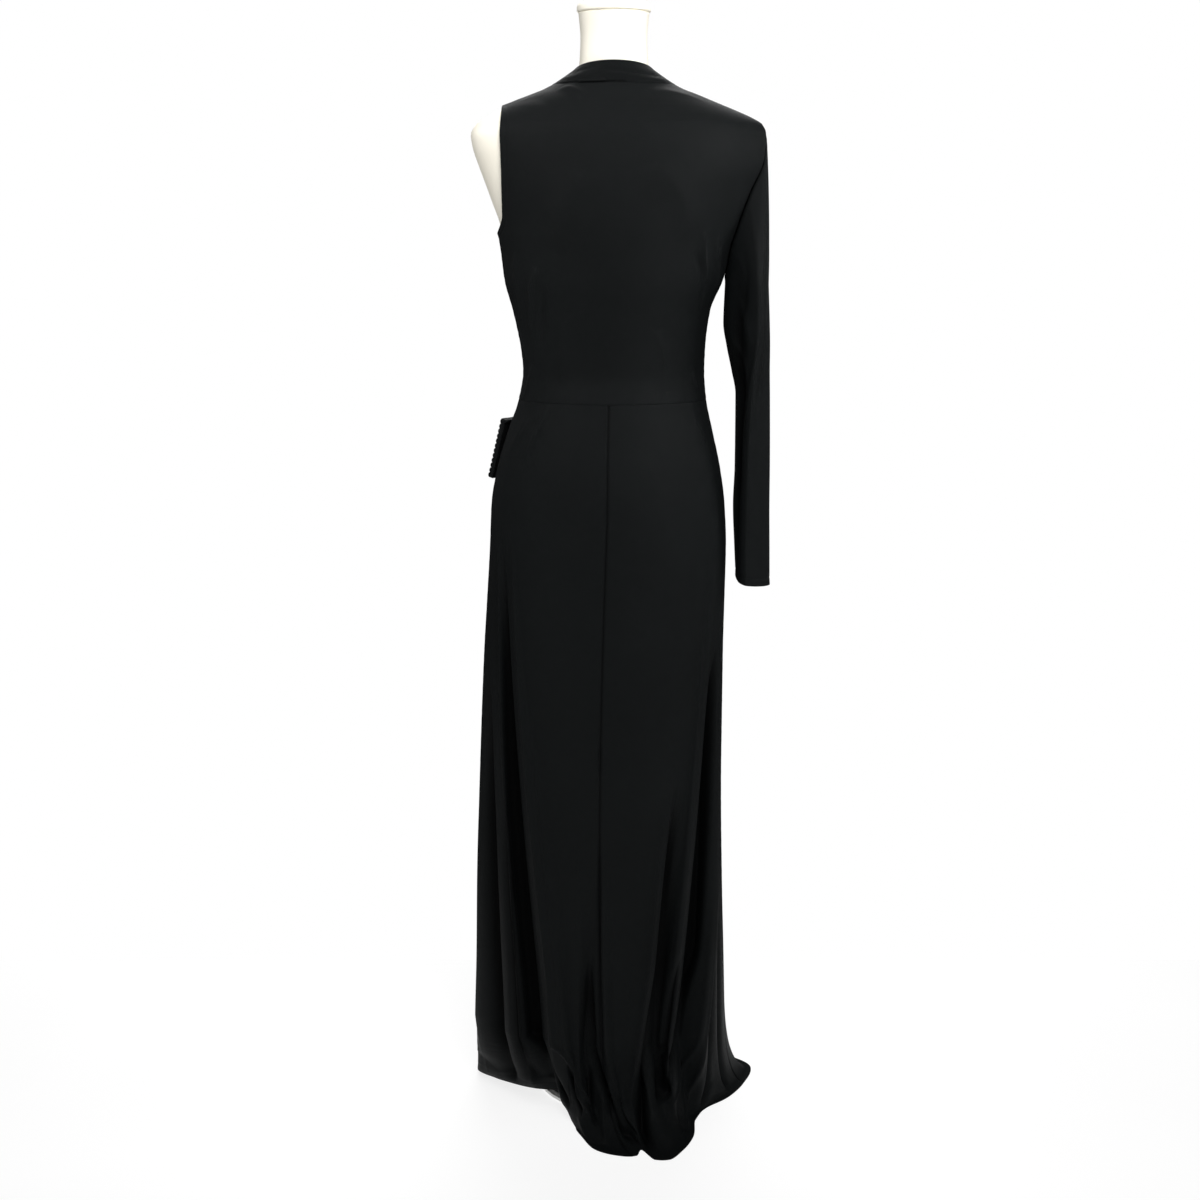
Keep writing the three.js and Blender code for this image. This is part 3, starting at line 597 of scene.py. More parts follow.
# %% Rows of the bodice
turning = LEFT_UNDERARM + BARE_TURN * np.linspace(0, 1, 14) ** 2
NECK_TUCK = 4.0
bodice_rows = np.concatenate([
    WAIST_SEAM + np.array([0, 0.9, 1.9, 3.2, 5.0, 7.4]),
    np.arange(WAIST_SEAM + 10, LEFT_UNDERARM - 1.5, 2.6),
    turning,
    np.arange(1248.5, 1380, 2.6),
    np.array([1381.4, 1382.6, 1383.8, 1384.8, LEFT_SHOULDER]),
    np.arange(1387.5, NECK_SEAM - 5, 1.9),
    NECK_SEAM - np.array([5.0, 3.4, 2.2, 1.2, 0.5, 0]),
    NECK_SEAM + NECK_TUCK * np.array([0.5, 1.0]),
])
print("the bodice has", len(bodice_rows), "rows")


def bodice_grid(middle, low_side, high_side, count):
    """Angles and heights of the panel's points.

    A column's angle is its place in the half circle round the panel's middle, plus the shift of
    each edge times the column's nearness to it, to the power 5, so that only the columns beside
    an armhole bend with it. Above the right shoulder a row's height bends to the neckline."""
    row, across = bodice_rows[:, None], crowded(count)
    low_shift, high_shift = low_side - (middle - 90), high_side - (middle + 90)
    turn = mix(middle - 90, middle + 90, across)
    turn = turn + low_shift[:, None] * (1 - across) ** 5 + high_shift[:, None] * across**5
    angle = np.radians(turn)
    share = (row - RIGHT_SHOULDER) / (NECK_SEAM - RIGHT_SHOULDER)
    height = np.where(share <= 0, row, mix(RIGHT_SHOULDER, neckline(angle), share))
    return angle, height


# %% Creases of the bodice
BODICE_ARC = 2.45  # millimetres across for each degree
BACK_CREASES = creases([
    (-104, 1180, -145, 1088, 2, 4.5, 5.1), (-96, 1160, -130, 1072, -2, 6, -2.9),
    (-188, 1120, -170, 1052, 3, 4.5, 3.8), (-146, 1196, -172, 1110, -3, 6, 2.6),
    (108, 1226, 139, 1152, 2, 4, 4.5), (134, 1220, 178, 1152, 3, 4, 3.8),
    (104, 1200, 150, 1124, -3, 4.5, -2.9), (150, 1206, 188, 1140, 2, 5, 2.6),
    (-116, 1406, -38, 1392, -4, 3, 3.5), (-150, 1392, -72, 1380, -5, 4, -1.3),
    (150, 1393, 60, 1400, 4, 5, 1.4), (-150, 1050, -172, 1006, 2, 6, 2.6),
    (140, 1046, 166, 1010, -2, 7, 2.2), (-60, 1120, -84, 1030, 5, 11, 1.9),
    (66, 1100, 82, 1020, -5, 12, 1.6), (-30, 1300, -70, 1200, 9, 16, 1.8),
    (34, 1310, 84, 1226, -9, 15, 1.9),
])
FRONT_CREASES = creases([
    (280, 1190, 330, 1090, 6, 9, 1.6), (300, 1210, 346, 1120, 4, 8, -1.1),
    (600, 1196, 560, 1100, -6, 9, 1.7), (584, 1180, 534, 1076, -5, 10, 1.2),
    (430, 1150, 500, 1040, 8, 13, 1.0), (404, 1120, 452, 1020, -6, 12, 0.9),
    (350, 1360, 400, 1250, 8, 14, 0.9), (540, 1370, 500, 1270, -8, 15, 1.0),
])


# %% Build a bodice panel
BODICE_COLUMNS = 150


def bodice_panel(name, middle, low_side, high_side, seams, hole, marks, node_name):
    """A panel between two edges, with creases, seam grooves and a turned armhole edge."""
    angle, height = bodice_grid(middle, low_side, high_side, BODICE_COLUMNS)
    points = gown_point(angle, height)[0]
    relief = crease_relief(np.degrees(angle) * BODICE_ARC, height, marks)
    sewn = np.full(height.shape, np.inf)
    run = up_columns(points)
    for line in seams(points):
        sewn = np.minimum(sewn, distance_to(points, line))
    neck = distance_to(points, points[NECK_ROW])
    relief += seam_groove(sewn) + pucker(sewn, run) + seam_groove(neck, 0.3, 1.6)
    waist = distance_to(points, points[0])
    relief += seam_groove(waist, 0.15, 1.4) + pucker(waist, along_rows(points), 13, 0.12)
    bare = distance_to(points, hole(points))
    relief += ridge(bare, 0.5, 5) + ridge(bare, -0.55, 1.1, 8)
    # Painted shade along the seams, fainter at the neck and the waist.
    shade = painted_seam_shade(np.minimum(sewn, np.minimum(neck, waist) + WAIST_FAINT))
    return jersey_piece(name, raised(points, relief), shade, node_name)


NECK_ROW = int(np.argmin(np.abs(bodice_rows - NECK_SEAM)))
low_left = bodice_rows <= LEFT_UNDERARM
high_left = bodice_rows >= LEFT_SHOULDER - 0.01
open_left = (bodice_rows >= LEFT_UNDERARM) & (bodice_rows <= LEFT_SHOULDER)

bodice_back = bodice_panel(
    "bodice_back_jersey",
    0,
    -90 + bare_armhole(bodice_rows, 0),
    90 - sleeved_armhole(bodice_rows),
    lambda p: [p[low_left, 0], p[high_left, 0], p[:, -1]],
    lambda p: p[open_left, 0],
    BACK_CREASES,
    "bodice_back",
)
bodice_front = bodice_panel(
    "bodice_front_jersey",
    180,
    90 + sleeved_armhole(bodice_rows),
    270 - bare_armhole(bodice_rows, BARE_SCOOP),
    lambda p: [p[:, 0], p[low_left, -1], p[high_left, -1]],
    lambda p: p[open_left, -1],
    FRONT_CREASES,
    "bodice_front",
)

# %% [markdown]
# ## The skirt
#
# Three panels hang from the waist seam: two at the back, joined by the centre back seam, and one
# at the front. Columns of points follow the fold lines down and crowd beside each crest, so that
# a crest is less of a row of steps. The columns between them are spread evenly by their mean
# length at the waist, halfway down, at the low line and at the hem.

# %% Crests and hollows of the folds
# at, foot, tread, last: the fold line that it's on while it hangs, at the low line, on its way
# along the floor and where it ends. rise, floor: its height while it hangs and on the floor, below
# 0 for a hollow. left, right: its width on each side. top, full: the heights where it begins and
# where it is whole. end: how far along the floor it dies away, where 1 is the hem.
CRESTS = table("at foot tread last rise floor left right top full end", [
    (-84, -84, -84, -84, 2, 1, 5, 5, 620, 300, 1),
    (-76, -75.4, -74, -74, -28, -12, 11, 8, 680, 400, 0.9),
    (-68.2, -67.6, -68, -69, 5, 3, 2.5, 2.5, 900, 620, 1),
    (-69.5, -69, -68, -67, -14, -9, 11, 11, 540, 300, 0.8),
    (-62.8, -62.6, -58, -50, -26, -18, 9, 5, 860, 470, 0.6),
    (-55.2, -56.3, -28, -12.7, 3.5, 9, 3, 6, 900, 640, 0.58),
    (-50.2, -50.3, -14, -8.5, 2, 6, 2.5, 4, 620, 420, 0.6),
    (-9.5, -4.4, 2, 10, -14, -18, 5, 3, 250, 150, 0.95),
    (-0.8, -0.8, -0.8, -0.8, -5, -3, 3, 2, 440, 280, 0.15),
    (2.5, 2.7, 6, 15.5, 3.5, 7, 2.5, 7, 420, 250, 0.78),
    (23.4, 22.6, 18, 12, 4, 5, 6, 2.5, 480, 330, 0.5),
    (29, 26.4, 17, 13, -27, -22, 4, 9, 500, 300, 0.98),
    (39.8, 37, 34, 30, 3, 0, 5, 4, 820, 520, 0.1),
    (56.2, 50, 42, 32, -26, -14, 8, 5, 700, 520, 0.5),
    (41, 38, 34, 30, -16, -12, 6, 6, 250, 160, 0.5),
    (62, 62.5, 58, 35, 2.5, 5, 4, 5, 330, 180, 0.55),
    (66, 66, 62, 40, 4, 5, 4, 5, 420, 250, 0.95),
    (73, 73, 70, 60, -9, -7, 6, 6, 400, 220, 0.9), (82, 82, 80, 79, -7, -5, 5, 6, 330, 180, 0.9),
    (98, 98, 98, 98, 1.5, 1, 6, 6, 440, 200, 1),
    (122, 122, 122, 122, 2.5, 1, 6, 6, 760, 400, 1),
    (150, 150, 150, 150, 2.2, 1.2, 6, 6, 800, 420, 1),
    (180, 180, 180, 180, 1.8, 1, 7, 7, 700, 300, 1),
    (197, 197, 197, 197, -7, -2, 7, 5, 640, 300, 0.8),
    (214, 214, 214, 214, 2.2, 1.2, 6, 6, 790, 400, 1),
    (229, 229, 229, 229, -8, -3, 6, 6, 680, 340, 0.8),
    (244, 244, 244, 244, 2.5, 1, 6, 6, 760, 420, 1),
])


def crest_relief(at, down, height, per_degree):
    """The sum over the crests of rise times growth times a bell across the fold line.

    It hangs on its line and goes over to the foot's in the last stretch. Along the floor s runs
    from 0 to 1 at its end, its place is a curve through foot, tread and last, weighted (1-s)^2,
    2s(1-s) and s^2, and its rise goes over to the floor's and dies away. The bell has its own
    width on each side, with shoulders to the power 1.5."""
    relief = np.zeros(at.shape)
    for row in zip(*CRESTS.values()):
        line, foot, tread, last, rise, floor, left, right, top, full, end = row
        s = np.clip(-down / end, 0, 1)
        start = mix(foot, line, ease(height, LOW_LINE, 240))
        place = start * (1 - s) ** 2 + tread * 2 * s * (1 - s) + last * s**2
        grown = (1 - ease(height, full, top)) * (1 - ease(s, 0.65, 1))
        offset = (at - place) * per_degree
        bell = np.exp(-((np.abs(offset) / np.where(offset < 0, left, right)) ** 1.5))
        relief += mix(rise, floor, ease(s, 0, 0.4)) * grown * bell
    return relief


def skirt_columns(low, high, count):
    """Places between two fold lines, evenly spread by length, with extra ones on each crest."""
    fine = np.linspace(low, high, 1500)
    rings = [skirt_point(fine, np.full(1500, down)) for down in (1.0, 0.5, 0.0, -1.0)]
    steps = sum(np.linalg.norm(np.diff(ring, axis=0), axis=1) for ring in rings)
    length = np.concatenate([[0], np.cumsum(steps)])
    even = np.interp(crowded(count) * length[-1], length, fine)
    near = (CRESTS["at"][:, None] + np.linspace(-2.4, 2.4, 9)).ravel()
    near = np.sort(near[(near > low + 1.2) & (near < high - 1.2)])
    near = near[np.concatenate([[True], np.diff(near) > 0.3])]
    apart = np.abs(even[:, None] - near[None]).min(axis=1)
    keep = (apart > 0.25) | (even < low + 1) | (even > high - 1)
    return np.unique(np.concatenate([even[keep], near]))


hanging = np.concatenate([
    np.linspace(1, 0.82, 48), np.linspace(0.82, 0.12, 96)[1:], np.linspace(0.12, 0, 28)[1:]])[1:]
top_rows = 1 - np.array([0, 0.0008, 0.0016, 0.0026])
landing = -np.concatenate([np.linspace(0, 0.96, 60)[1:], [0.972, 0.982, 0.99, 0.996, 1.0]])
skirt_rows = np.concatenate([top_rows, hanging, landing])[::-1]
print("the skirt has", len(skirt_rows), "rows")

# %% Creases of the skirt
SKIRT_ARC = 2.6  # millimetres across for each degree
SKIRT_CREASES = creases([
    (-132, 998, -157, 926, 2, 5, 3.0), (-150, 995, -178, 950, 3, 5, 1.8),
    (-176, 985, -196, 930, -2, 7, 1.2), (-128, 975, -152, 905, 4, 8, -1.2),
    (166, 985, 190, 900, -3, 9, 1.2), (-20, 960, -34, 820, 6, 16, 0.7),
    (60, 940, 84, 780, -8, 18, 0.8), (-205, 700, -178, 420, 9, 10, 1.4),
    (150, 620, 118, 330, -7, 9, 1.2), (180, 560, 160, 300, 6, 9, 1.2),
    (-60, 420, -46, 200, 4, 8, 1.0),
])

# %% Creases of the train
# Along is the share of the way to the hem, in hundredths.
TRAIN_ARC = 2  # millimetres across for each degree of fold line
TRAIN_CREASES = creases([
    (-3, 24, -24, 86, 6, 4, 8), (-13, 14, -24, 66, -3, 4, -9), (-98, 10, -50, 54, 5, 5, -12),
    (-178, 44, -158, 70, 3, 9, -4), (-130, 62, -112, 80, 2, 8, 3), (44, 60, 60, 88, 3, 8, 3),
    (96, 40, 82, 88, -4, 7, -5), (140, 50, 152, 86, 3, 8, 3), (-70, 60, -52, 90, 3, 8, 2.5),
])


# %% Build a skirt panel
DEEP = 12.0  # the depth of a hollow at which its painted shade is darkest
# What the outer face keeps above the floor besides its wall. The wall's height comes from the slope
# before the points are lifted. Lifting flattens the train's sharp creases, so there the inner
# face still dips up to a millimetre under the floor.
OFF_FLOOR = 0.1


def skirt_panel(name, low, high, count, node_name):
    """A panel between two fold lines, from the waist seam to the hem.

    Its painted shade is that of its seams or of its hollows, whichever is darker."""
    at, down = np.broadcast_arrays(skirt_columns(low, high, count)[None], skirt_rows[:, None])
    points = skirt_point(at, down)
    height = mix(LOW_LINE, WAIST_SEAM, np.clip(down, 0, 1))
    step = 3
    across = np.linalg.norm(skirt_point(at + step, down) - skirt_point(at - step, down), axis=-1)
    per_degree = np.maximum(across / (2 * step), 1)
    round_body = np.degrees(np.arctan2(points[..., 0], -points[..., 1])) * SKIRT_ARC
    relief = crease_relief(round_body, height - 60 * np.clip(-down, 0, 1), SKIRT_CREASES)
    folds = crest_relief(at, down, height, per_degree)
    folds += crease_relief(at * TRAIN_ARC, np.maximum(-down, 0) * 100, TRAIN_CREASES)
    relief += folds
    seams = np.minimum(distance_to(points, points[:, 0]), distance_to(points, points[:, -1]))
    waist = distance_to(points, points[-1])
    hem = distance_to(points, points[0])
    relief += seam_groove(seams) + pucker(seams, up_columns(points), 15, 0.14)
    relief += seam_groove(waist, 0.15, 1.4) + ridge(hem, -0.3, 1.2, 12)
    points = raised(points, relief)
    lowest = CLOTH * np.maximum(0, normals(points)[..., 2]) + OFF_FLOOR
    points[..., 2] = np.maximum(points[..., 2], lowest)
    # Painted shade along the seams and the waist, and in the hollows of the folds.
    sewn = painted_seam_shade(np.minimum(seams, waist + WAIST_FAINT))
    shade = np.maximum(sewn, np.clip(-folds / DEEP, 0, 1))
    return jersey_piece(name, points, shade, node_name)


skirt_back_left = skirt_panel("skirt_back_left_jersey", -90, 0, 110, "skirt_back_left")
skirt_back_right = skirt_panel("skirt_back_right_jersey", 0, 90, 110, "skirt_back_right")
skirt_front = skirt_panel("skirt_front_jersey", 90, 270, 118, "skirt_front")

# %% [markdown]
# ## The sleeve
#
# A long sleeve hangs empty and is pressed flat by its own weight. Its head runs from the armhole
# out and down to the first level section, and the rest is an oval whose front and back edges come
# nearly to a point. It is one closed tube, so its last column joins its first.

# %% Surface of the sleeve
SLEEVE_TOP = SLEEVE["height"][-1]
HEAD_SWELL, HEAD_SPREAD, CUFF_SLANT, PRESS = 2.4, 1.6, 11.0, 0.4


def sleeve_tube(turn, height):
    """An oval whose sine is mixed with a straight zigzag, so that its front and back come nearly
    to a point, and whose back point drifts across to the crest's place."""
    section = {name: read(SLEEVE, "height", name, height) for name in SLEEVE}
    pointed = np.arcsin(np.sin(turn)) / (math.pi / 2)
    middle = (section["inner"] + section["outer"]) / 2
    half = (section["outer"] - section["inner"]) / 2
    drift = (section["crest"] - middle) * np.maximum(0, np.sin(turn)) ** 2
    slant = CUFF_SLANT * (1 - np.cos(turn)) / 2 * (1 - ease(height, CUFF, CUFF + 60))
    x = middle + half * np.cos(turn) + drift
    return stack(x, -section["depth"] * mix(np.sin(turn), pointed, PRESS), height + slant)


def armhole_loop(turn):
    """The sleeved armhole: down the back from the shoulder and up the front."""
    height = mix(RIGHT_UNDERARM, RIGHT_SHOULDER, (1 + np.cos(turn)) / 2)
    side = np.where(np.sin(turn) >= 0, -1, 1)
    return gown_point(np.radians(90 + side * sleeved_armhole(height)), height)[0]


turns = np.linspace(0, 2 * math.pi, 112, endpoint=False)
head_share = np.concatenate([[0, 0.006, 0.013, 0.022, 0.034], np.linspace(0.05, 1, 40)])[:-1]
loop, target = armhole_loop(turns), sleeve_tube(turns, SLEEVE_TOP)
share = head_share[:, None]
head = stack(
    mix(loop[:, 0], target[:, 0], 1 - (1 - share) ** HEAD_SWELL),
    mix(loop[:, 1], target[:, 1], 1 - (1 - share) ** HEAD_SPREAD),
    mix(loop[:, 2], target[:, 2], share),
)
tube_rows = np.concatenate([
    np.linspace(SLEEVE_TOP, CUFF + 13, 150), [CUFF + 11.5, CUFF + 10.5, CUFF + 9.5],
    np.linspace(CUFF + 8, CUFF, 6),
])
tube = sleeve_tube(turns[None], tube_rows[:, None])
sleeve_points = np.concatenate([head, tube])[::-1, ::-1]
print("the sleeve has", sleeve_points.shape[0], "rows of", sleeve_points.shape[1])

# %% Build the sleeve
SLEEVE_ARC = 0.9  # millimetres across for each degree of turn
SLEEVE_CREASES = creases([
    (118, 1190, 122, 750, 2, 15, -6), (58, 1200, 64, 960, 2, 5, -2.6),
    (60, 1236, 84, 1110, 4, 5, 2.0), (104, 1200, 118, 1090, 5, 6, -1.6),
    (70, 1120, 96, 960, -3, 5, 1.6), (128, 1150, 96, 1070, 5, 6, 1.5),
    (140, 1090, 98, 1030, 4, 6, 1.7), (138, 1056, 104, 1000, -3, 6, -1.2),
    (126, 1000, 92, 900, 4, 7, 1.1), (84, 960, 74, 800, 3, 6, 1.0),
    (30, 1210, 46, 1080, -4, 7, 1.0), (200, 1150, 230, 1060, 5, 7, 1.5),
    (190, 1080, 226, 1010, -4, 6, 1.4), (210, 1010, 236, 900, 4, 8, 1.1),
    (250, 1220, 262, 1100, 3, 7, 1.2), (286, 1200, 276, 1060, -3, 8, 0.9),
])
turn_there = np.degrees(turns)[None, ::-1] * SLEEVE_ARC
height_there = sleeve_points[..., 2]
relief = crease_relief(turn_there, height_there, SLEEVE_CREASES)
armscye = distance_to(sleeve_points, ring(sleeve_points[-1]))
cuff = distance_to(sleeve_points, ring(sleeve_points[0]))
under = np.argmin(np.abs(turns[::-1] - math.pi))
underarm = distance_to(sleeve_points, sleeve_points[:, under])
relief += seam_groove(armscye) + pucker(armscye, along_rows(sleeve_points), 12, 0.22)
relief += seam_groove(underarm, 0.7, 1.6) + ridge(cuff, -0.5, 1.0, 10) + ridge(cuff, 0.35, 5)
# Painted shade along the armhole and underarm seams, and in the hollows of the creases.
hollow = np.clip(-1 - relief, 0, 3) / 3  # 0 down to a millimetre deep, and 1 from four
shade = np.maximum(painted_seam_shade(np.minimum(armscye, underarm)), hollow)
sleeve = jersey_piece(
    "sleeve_jersey", raised(sleeve_points, relief, closed=True), shade, "sleeve", closed=True)

# %% [markdown]
# ## The collar
#
# A band of doubled jersey stands round the neckline. It leans in to a smaller rim, swells a
# little between its seam and its rim, and has settled in a long crease across the right of the
# back.

# %% Surface of the collar
RIM_SIDE, RIM_BACK, RIM_FRONT = 51.0, 51.0, 62.0
RIM_BACK_HEIGHT, RIM_FRONT_HEIGHT, SWELL = 1440.0, 1418.0, 1.5
round_angles = np.linspace(0, 2 * math.pi, 200, endpoint=False)[None]
up = crowded(18, (0, 0.02, 0.045, 0.08, 0.12))[:, None]
seam_line = gown_point(round_angles, neckline(round_angles))[0]
rim_depth = np.where(np.cos(round_angles) > 0, RIM_BACK, RIM_FRONT)
rim_height = mix(RIM_FRONT_HEIGHT, RIM_BACK_HEIGHT, (1 + np.cos(round_angles)) / 2)
rim = stack(RIM_SIDE * np.sin(round_angles), -rim_depth * np.cos(round_angles), rim_height)
lean = stack(np.sin(round_angles), -np.cos(round_angles), 0.6) / math.hypot(1, 0.6)
swell = SWELL * np.cos(round_angles) ** 2 * np.sin(math.pi * up)
collar_points = mix(seam_line, rim, up[..., None]) + lean * swell[..., None]
print("the collar has", collar_points.shape[0], "rows of", collar_points.shape[1])

# %% Build the collar
COLLAR_ARC = 1.25  # millimetres across for each degree
COLLAR_HIGH, COLLAR_WALL = 40, 1.7
COLLAR_CREASES = creases([
    (-20, 24, 84, 17, 3, 4, -1.8), (-10, 14, 96, 9, 3, 5, 1.3), (-84, 20, -24, 27, -2, 4, -1.0),
    (-96, 12, -40, 16, 2, 5, 0.9), (150, 16, 230, 22, 3, 5, -0.9), (270, 12, 340, 18, 3, 5, 0.9),
])
past_front = round_angles > math.pi * 1.5
signed = np.degrees(np.where(past_front, round_angles - 2 * math.pi, round_angles))
relief = crease_relief(signed * COLLAR_ARC, up * COLLAR_HIGH, COLLAR_CREASES)
neck_seam = distance_to(collar_points, ring(collar_points[0]))
relief += seam_groove(neck_seam, 0.15, 1.6) + ridge((1 - up) * COLLAR_HIGH, 0.5, 4)
# Painted shade along the neck seam, fainter than on other seams.
collar = jersey_piece(
    "collar_jersey", raised(collar_points, relief, closed=True),
    painted_seam_shade(neck_seam + NECK_FAINT), "collar", closed=True, thickness=COLLAR_WALL)

# %% [markdown]
# ## The ribbed band at the left hip
#
# A stiff strip stands on end beside the hip, pleated into ribs that are stacked one above the
# other. Its outline is one closed profile, ribbed on the outer side, and it is carried straight
# across by its width. Towards both ends the profile draws in a little, which rounds its edges.

# %% Profile and place of the band
BAND_ANGLE, BAND_MIDDLE, BAND_HEIGHT, BAND_WIDTH = -112.0, 930.5, 86.0, 52.0
BAND_THICK, BAND_RIBS, BAND_RIB, BAND_LEAN, BAND_OFFSET = 6.0, 12, 2.0, 24.0, 3.4
TURN_LENGTH, TURN_THICK = 2.9, 4.0


def band_profile():
    """A closed outline: up the ribs, over the head and down the flat inner side. A rib is the
    absolute sine of its share of the pitch, to the power 0.7."""
    half = BAND_HEIGHT / 2
    y = np.linspace(-half, half, BAND_RIBS * 12 + 1)
    rib = np.abs(np.sin(math.pi * (y + half) * BAND_RIBS / BAND_HEIGHT)) ** 0.7
    outer = np.stack([BAND_THICK + BAND_RIB * rib, y], axis=1)
    head = np.linspace((BAND_THICK - 1.5, half), (-TURN_LENGTH, half), 6)
    back = np.linspace((-TURN_LENGTH, half - TURN_THICK), (0.0, half - TURN_THICK), 4)
    inner = np.linspace((0.0, half - TURN_THICK - 2), (0.0, -half), 40)
    foot = np.linspace((1.5, -half), (BAND_THICK - 1.5, -half), 4)
    return np.concatenate([outer, head, back, inner, foot])


profile = band_profile()
spot, half_width, half_depth = gown_point(np.radians(BAND_ANGLE), np.array(BAND_MIDDLE))
outward = np.array([
    math.sin(math.radians(BAND_ANGLE)) / float(half_width),
    -math.cos(math.radians(BAND_ANGLE)) / float(half_depth), 0.0,
])
outward /= np.linalg.norm(outward)
upward = np.array([0, 0, BAND_HEIGHT]) - outward * BAND_LEAN
upward /= np.linalg.norm(upward)
sideways = np.cross(outward, upward)
sideways /= np.linalg.norm(sideways)
facing = np.cross(upward, sideways)
corner = spot + outward * BAND_OFFSET
print("the band's profile has", len(profile), "points")

# %% Build the band
ribbed_trim = jersey("ribbed_trim", (0.0044, 0.005, 0.0052), (0.006, 0.0066, 0.0068), 0.5)
stations = np.concatenate([
    [0, 0.008, 0.02, 0.04], np.linspace(0.07, 0.93, 22), [0.96, 0.98, 0.992, 1]])
centre_line = profile.mean(axis=0)
shrink = 1 - 0.12 * np.exp(-((np.minimum(stations, 1 - stations) / 0.012) ** 1.2))
carried = centre_line[0] + (profile[:, 0] - centre_line[0]) * shrink[:, None]
level = centre_line[1] + (profile[:, 1] - centre_line[1]) * (1 - (1 - shrink[:, None]) * 0.08)
slip = 0.35 * np.sin(stations * 9 + 1)[:, None]
band_points = (
    corner
    + carried[..., None] * facing
    + (level + slip)[..., None] * upward
    + ((stations - 0.5) * BAND_WIDTH)[:, None, None] * sideways
)
hip_band = grid_piece(
    "hip_band_ribbed", band_points, cloth_map(band_points, closed=True), closed=True, capped=True)
give_painted_shade(hip_band, np.zeros(band_points.shape[:2]))
finish_piece(hip_band, ribbed_trim, "hip_band")

# %% [markdown]
# ## The dress form and its stand
#
# The form is smooth and whole, and only its neck and bare shoulder show. Its rows are read from
# the same table as the solid's, at many more heights, so no facet shows. The cap on its neck is
# a turned profile. The pole and the base stay as they're packed, because they're the right shape
# already; they only get a material.


# %% Ivory form material and white steel
def painted(name, dark, light, rough, grain_scale, grain_height):
    """A hard, smooth skin with a slightly uneven tone and a fine orange-peel grain."""
    material, tree, shader = new_material(name)
    place = node(tree, "TexCoord").outputs["Object"]
    drift = node(tree, "TexNoise", Vector=place, Scale=5.0, Detail=3.0).outputs["Fac"]
    grain = node(tree, "TexNoise", Vector=place, Scale=grain_scale, Detail=3.0).outputs["Fac"]
    tree.links.new(tone(tree, drift, dark, light), shader.inputs["Base Color"])
    tree.links.new(spread(tree, grain, rough - 0.06, rough + 0.06), shader.inputs["Roughness"])
    tree.links.new(bump(tree, grain, grain_height, 0.5), shader.inputs["Normal"])
    return material


ivory_form = painted("ivory_form", (0.95, 0.9, 0.77), (0.98, 0.94, 0.83), 0.5, 380.0, 0.0001)
white_steel = painted("white_steel", (0.82, 0.82, 0.8), (0.87, 0.87, 0.85), 0.35, 240.0, 0.00008)

# %% Build the form
form_rows = np.concatenate([
    np.linspace(618, 650, 16), np.linspace(656, 1400, 125), np.linspace(1403, 1502, 40)])[:, None]
form_angles = np.linspace(0, 2 * math.pi, 128, endpoint=False)[None]
form_depth = read_either(FORM, np.cos(form_angles) > 0, "back", "front", form_rows)
form_side = read(FORM, "height", "side", form_rows)
form_points = stack(
    form_side * np.sin(form_angles), -form_depth * np.cos(form_angles), form_rows)
form = grid_piece("form_torso_smooth", form_points, closed=True, capped=True)
finish_piece(form, ivory_form, "form_torso")

# %% Build the neck cap, and finish the stand
cap_outline = table("height radius", [
    (1502.3, 45), (1502.9, 47), (1504, 48), (1507, 48.2), (1510, 48), (1512.6, 46.6),
    (1514.2, 43.5), (1515.3, 35), (1516, 24),
])
steps = np.linspace(0, 1, 33)
cap_height = np.interp(steps, np.linspace(0, 1, 9), cap_outline["height"])[:, None]
cap_radius = np.interp(steps, np.linspace(0, 1, 9), cap_outline["radius"])[:, None]
cap_points = stack(
    cap_radius * np.sin(form_angles), -cap_radius * np.cos(form_angles), cap_height)
cap = grid_piece("form_neck_cap_turned", cap_points, closed=True, capped=True)
finish_piece(cap, ivory_form, "form_neck_cap")
for name in ("stand_pole", "stand_base"):
    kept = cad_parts[name]
    kept.data.materials.clear()
    kept.data.materials.append(white_steel)
    print(name, "keeps its solid and gets", white_steel.name)

# %% [markdown]
# ## The sewn pieces
#
# Each sewn piece is a sheet that was cut flat. The sizes were measured on the finished pieces
# themselves. So the cloth agrees with its cut by construction, which is no test of the pattern.

# %% [markdown]
# ## Floor, light and camera
#
# The floor is plain and pale and ends a little behind the gown, where a white backdrop takes
# over. It gives off most of its brightness itself, so that it stays nearly white under lights
# that are weak enough for black cloth. A soft light with a narrow beam stands high above the
# camera and a little to its right, and reaches the upper back. A broad one hangs over the gown on
# the camera's side, and a weak one stands farther right. Two narrow ones at the sides, a little
# higher than the shoulders, draw the edges, and one behind the gown lights the floor. The world
# looks white behind it all, but adds only a faint light of its own.

# %% Floor
FLOOR_END, FLOOR_REACH, FLOOR_NEAR = 417.0, 3000.0, -4200.0
FLOOR_GLOW = 0.82
floor_material, floor_tree, floor_shader = new_material("pale_floor")
floor_shader.inputs["Roughness"].default_value = 0.6
floor_place = node(floor_tree, "TexCoord").outputs["Object"]
floor_noise = node(
    floor_tree, "TexNoise", Vector=floor_place, Scale=1.5, Detail=2.0).outputs["Fac"]
floor_tree.links.new(
    tone(floor_tree, floor_noise, (0.24, 0.24, 0.24), (0.27, 0.27, 0.27)),
    floor_shader.inputs["Base Color"],
)
floor_shader.inputs["Emission Color"].default_value = (1, 1, 1, 1)
floor_shader.inputs["Emission Strength"].default_value = FLOOR_GLOW
x, y = np.meshgrid([-FLOOR_REACH, FLOOR_REACH], [FLOOR_NEAR, FLOOR_END])
floor = grid_piece("floor", stack(x, y, 0.0))
floor.data.materials.append(floor_material)
print("the floor ends", FLOOR_END, "mm behind the form's axis")


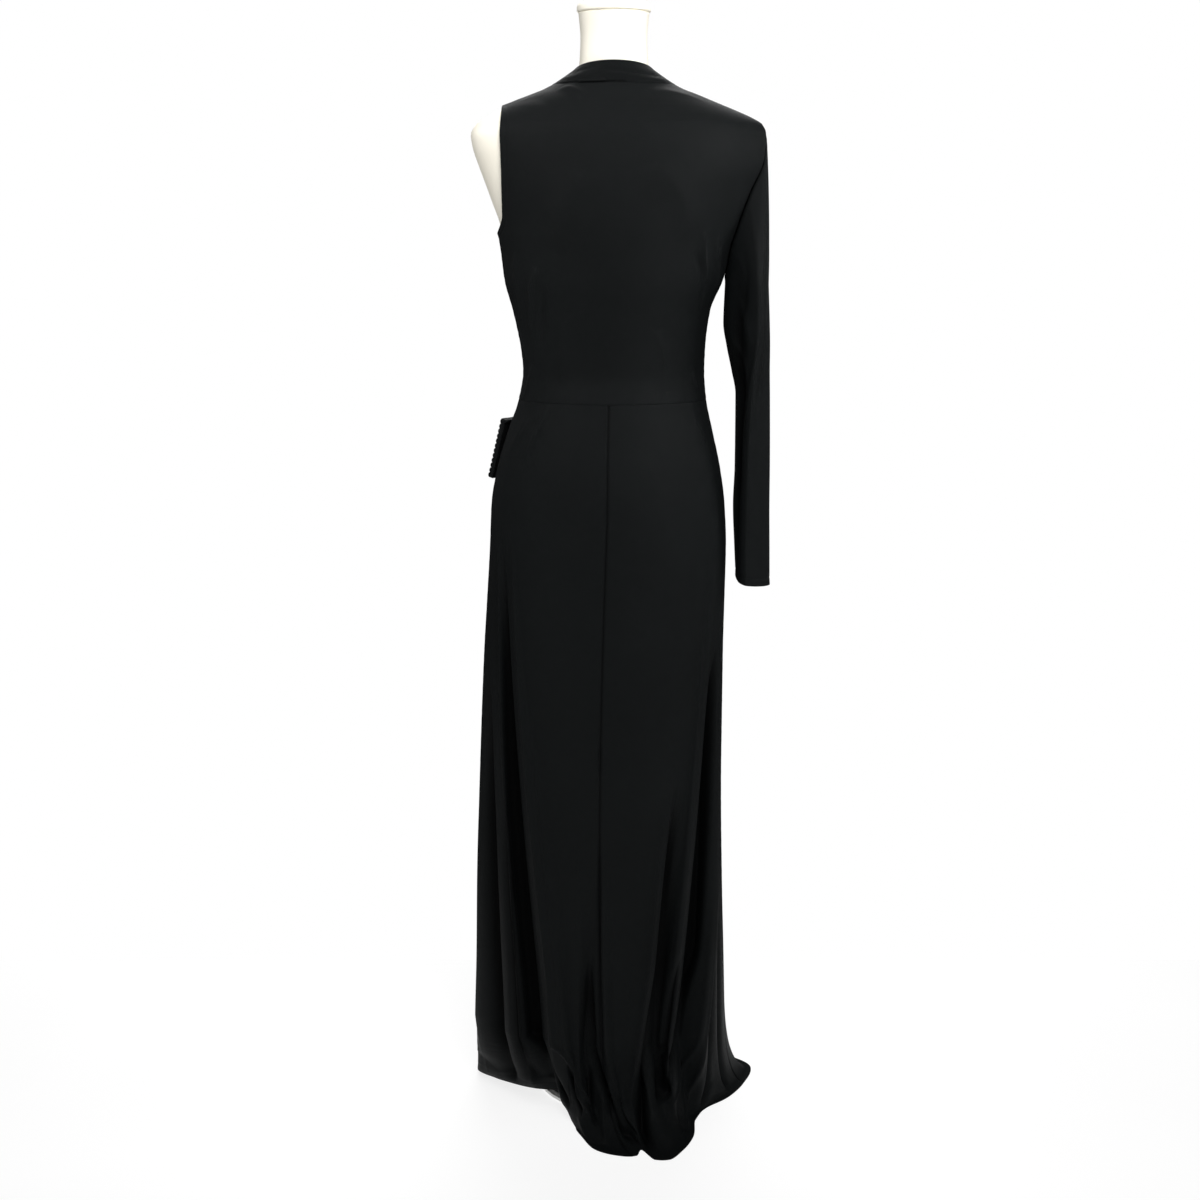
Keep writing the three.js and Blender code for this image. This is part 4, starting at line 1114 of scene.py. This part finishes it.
# %% Lights and world
def soft_light(name, place, aim, size, power, spread=180):
    """A square area light that points from its place to its aim, with a beam so wide."""
    data = bpy.data.lights.new(name, "AREA")
    data.energy, data.size, data.spread = power, size, math.radians(spread)
    lamp = bpy.data.objects.new(name, data)
    bpy.context.scene.collection.objects.link(lamp)
    lamp.location = place
    direction = np.array(aim) - np.array(place)
    yaw = math.atan2(direction[0], -direction[1])
    pitch = math.acos(-direction[2] / np.linalg.norm(direction))
    lamp.rotation_euler = (pitch, 0, yaw + math.pi)
    return lamp


soft_light("front_softbox", (0.5, -2.3, 2.4), (0, 0, 1.55), 0.9, 9.5, 72)
soft_light("right_softbox", (1.7, -1.1, 2.0), (0, 0, 1.25), 1.0, 1.5, 115)
soft_light("top_softbox", (0, -0.8, 2.9), (0, 0, 1.2), 1.3, 16, 150)
soft_light("left_edge_light", (-1.8, 0.1, 1.9), (0, 0, 1.4), 1.0, 2, 60)
soft_light("right_edge_light", (1.9, -0.1, 1.7), (0.2, 0, 1.3), 0.7, 2.5, 55)
soft_light("far_softbox", (0.0, 1.8, 2.6), (0, 0.3, 0), 1.8, 40)

world = bpy.data.worlds.new("white_studio")
bpy.context.scene.world = world
world.use_nodes = True
sky = world.node_tree
fill = sky.nodes["Background"]
fill.inputs["Color"].default_value = (1, 1, 1, 1)
fill.inputs["Strength"].default_value = 0.04
backdrop = node(sky, "Background", Color=(1, 1, 1, 1), Strength=1.0)
seen = node(sky, "LightPath").outputs["Is Camera Ray"]
blend = node(sky, "MixShader", _0=seen, _1=fill.outputs[0], _2=backdrop.outputs[0])
sky.links.new(blend.outputs[0], sky.nodes["World Output"].inputs["Surface"])
bpy.context.scene.view_settings.view_transform = "Standard"

# %% Camera
CAMERA_SIDE, CAMERA_BACK, CAMERA_HIGH, CAMERA_DIP = -0.018, 2.4, 1.25, 12.4
camera_data = bpy.data.cameras.new("camera")
camera_data.sensor_width = 36.0
camera_data.lens = 52.95
camera_data.clip_end = 50.0
camera = bpy.data.objects.new("camera", camera_data)
bpy.context.scene.collection.objects.link(camera)
camera.location = (CAMERA_SIDE, -CAMERA_BACK, CAMERA_HIGH)
camera.rotation_euler = (math.radians(90 - CAMERA_DIP), 0, 0)
bpy.context.scene.camera = camera
print("the camera is", CAMERA_BACK, "m behind the form's axis")
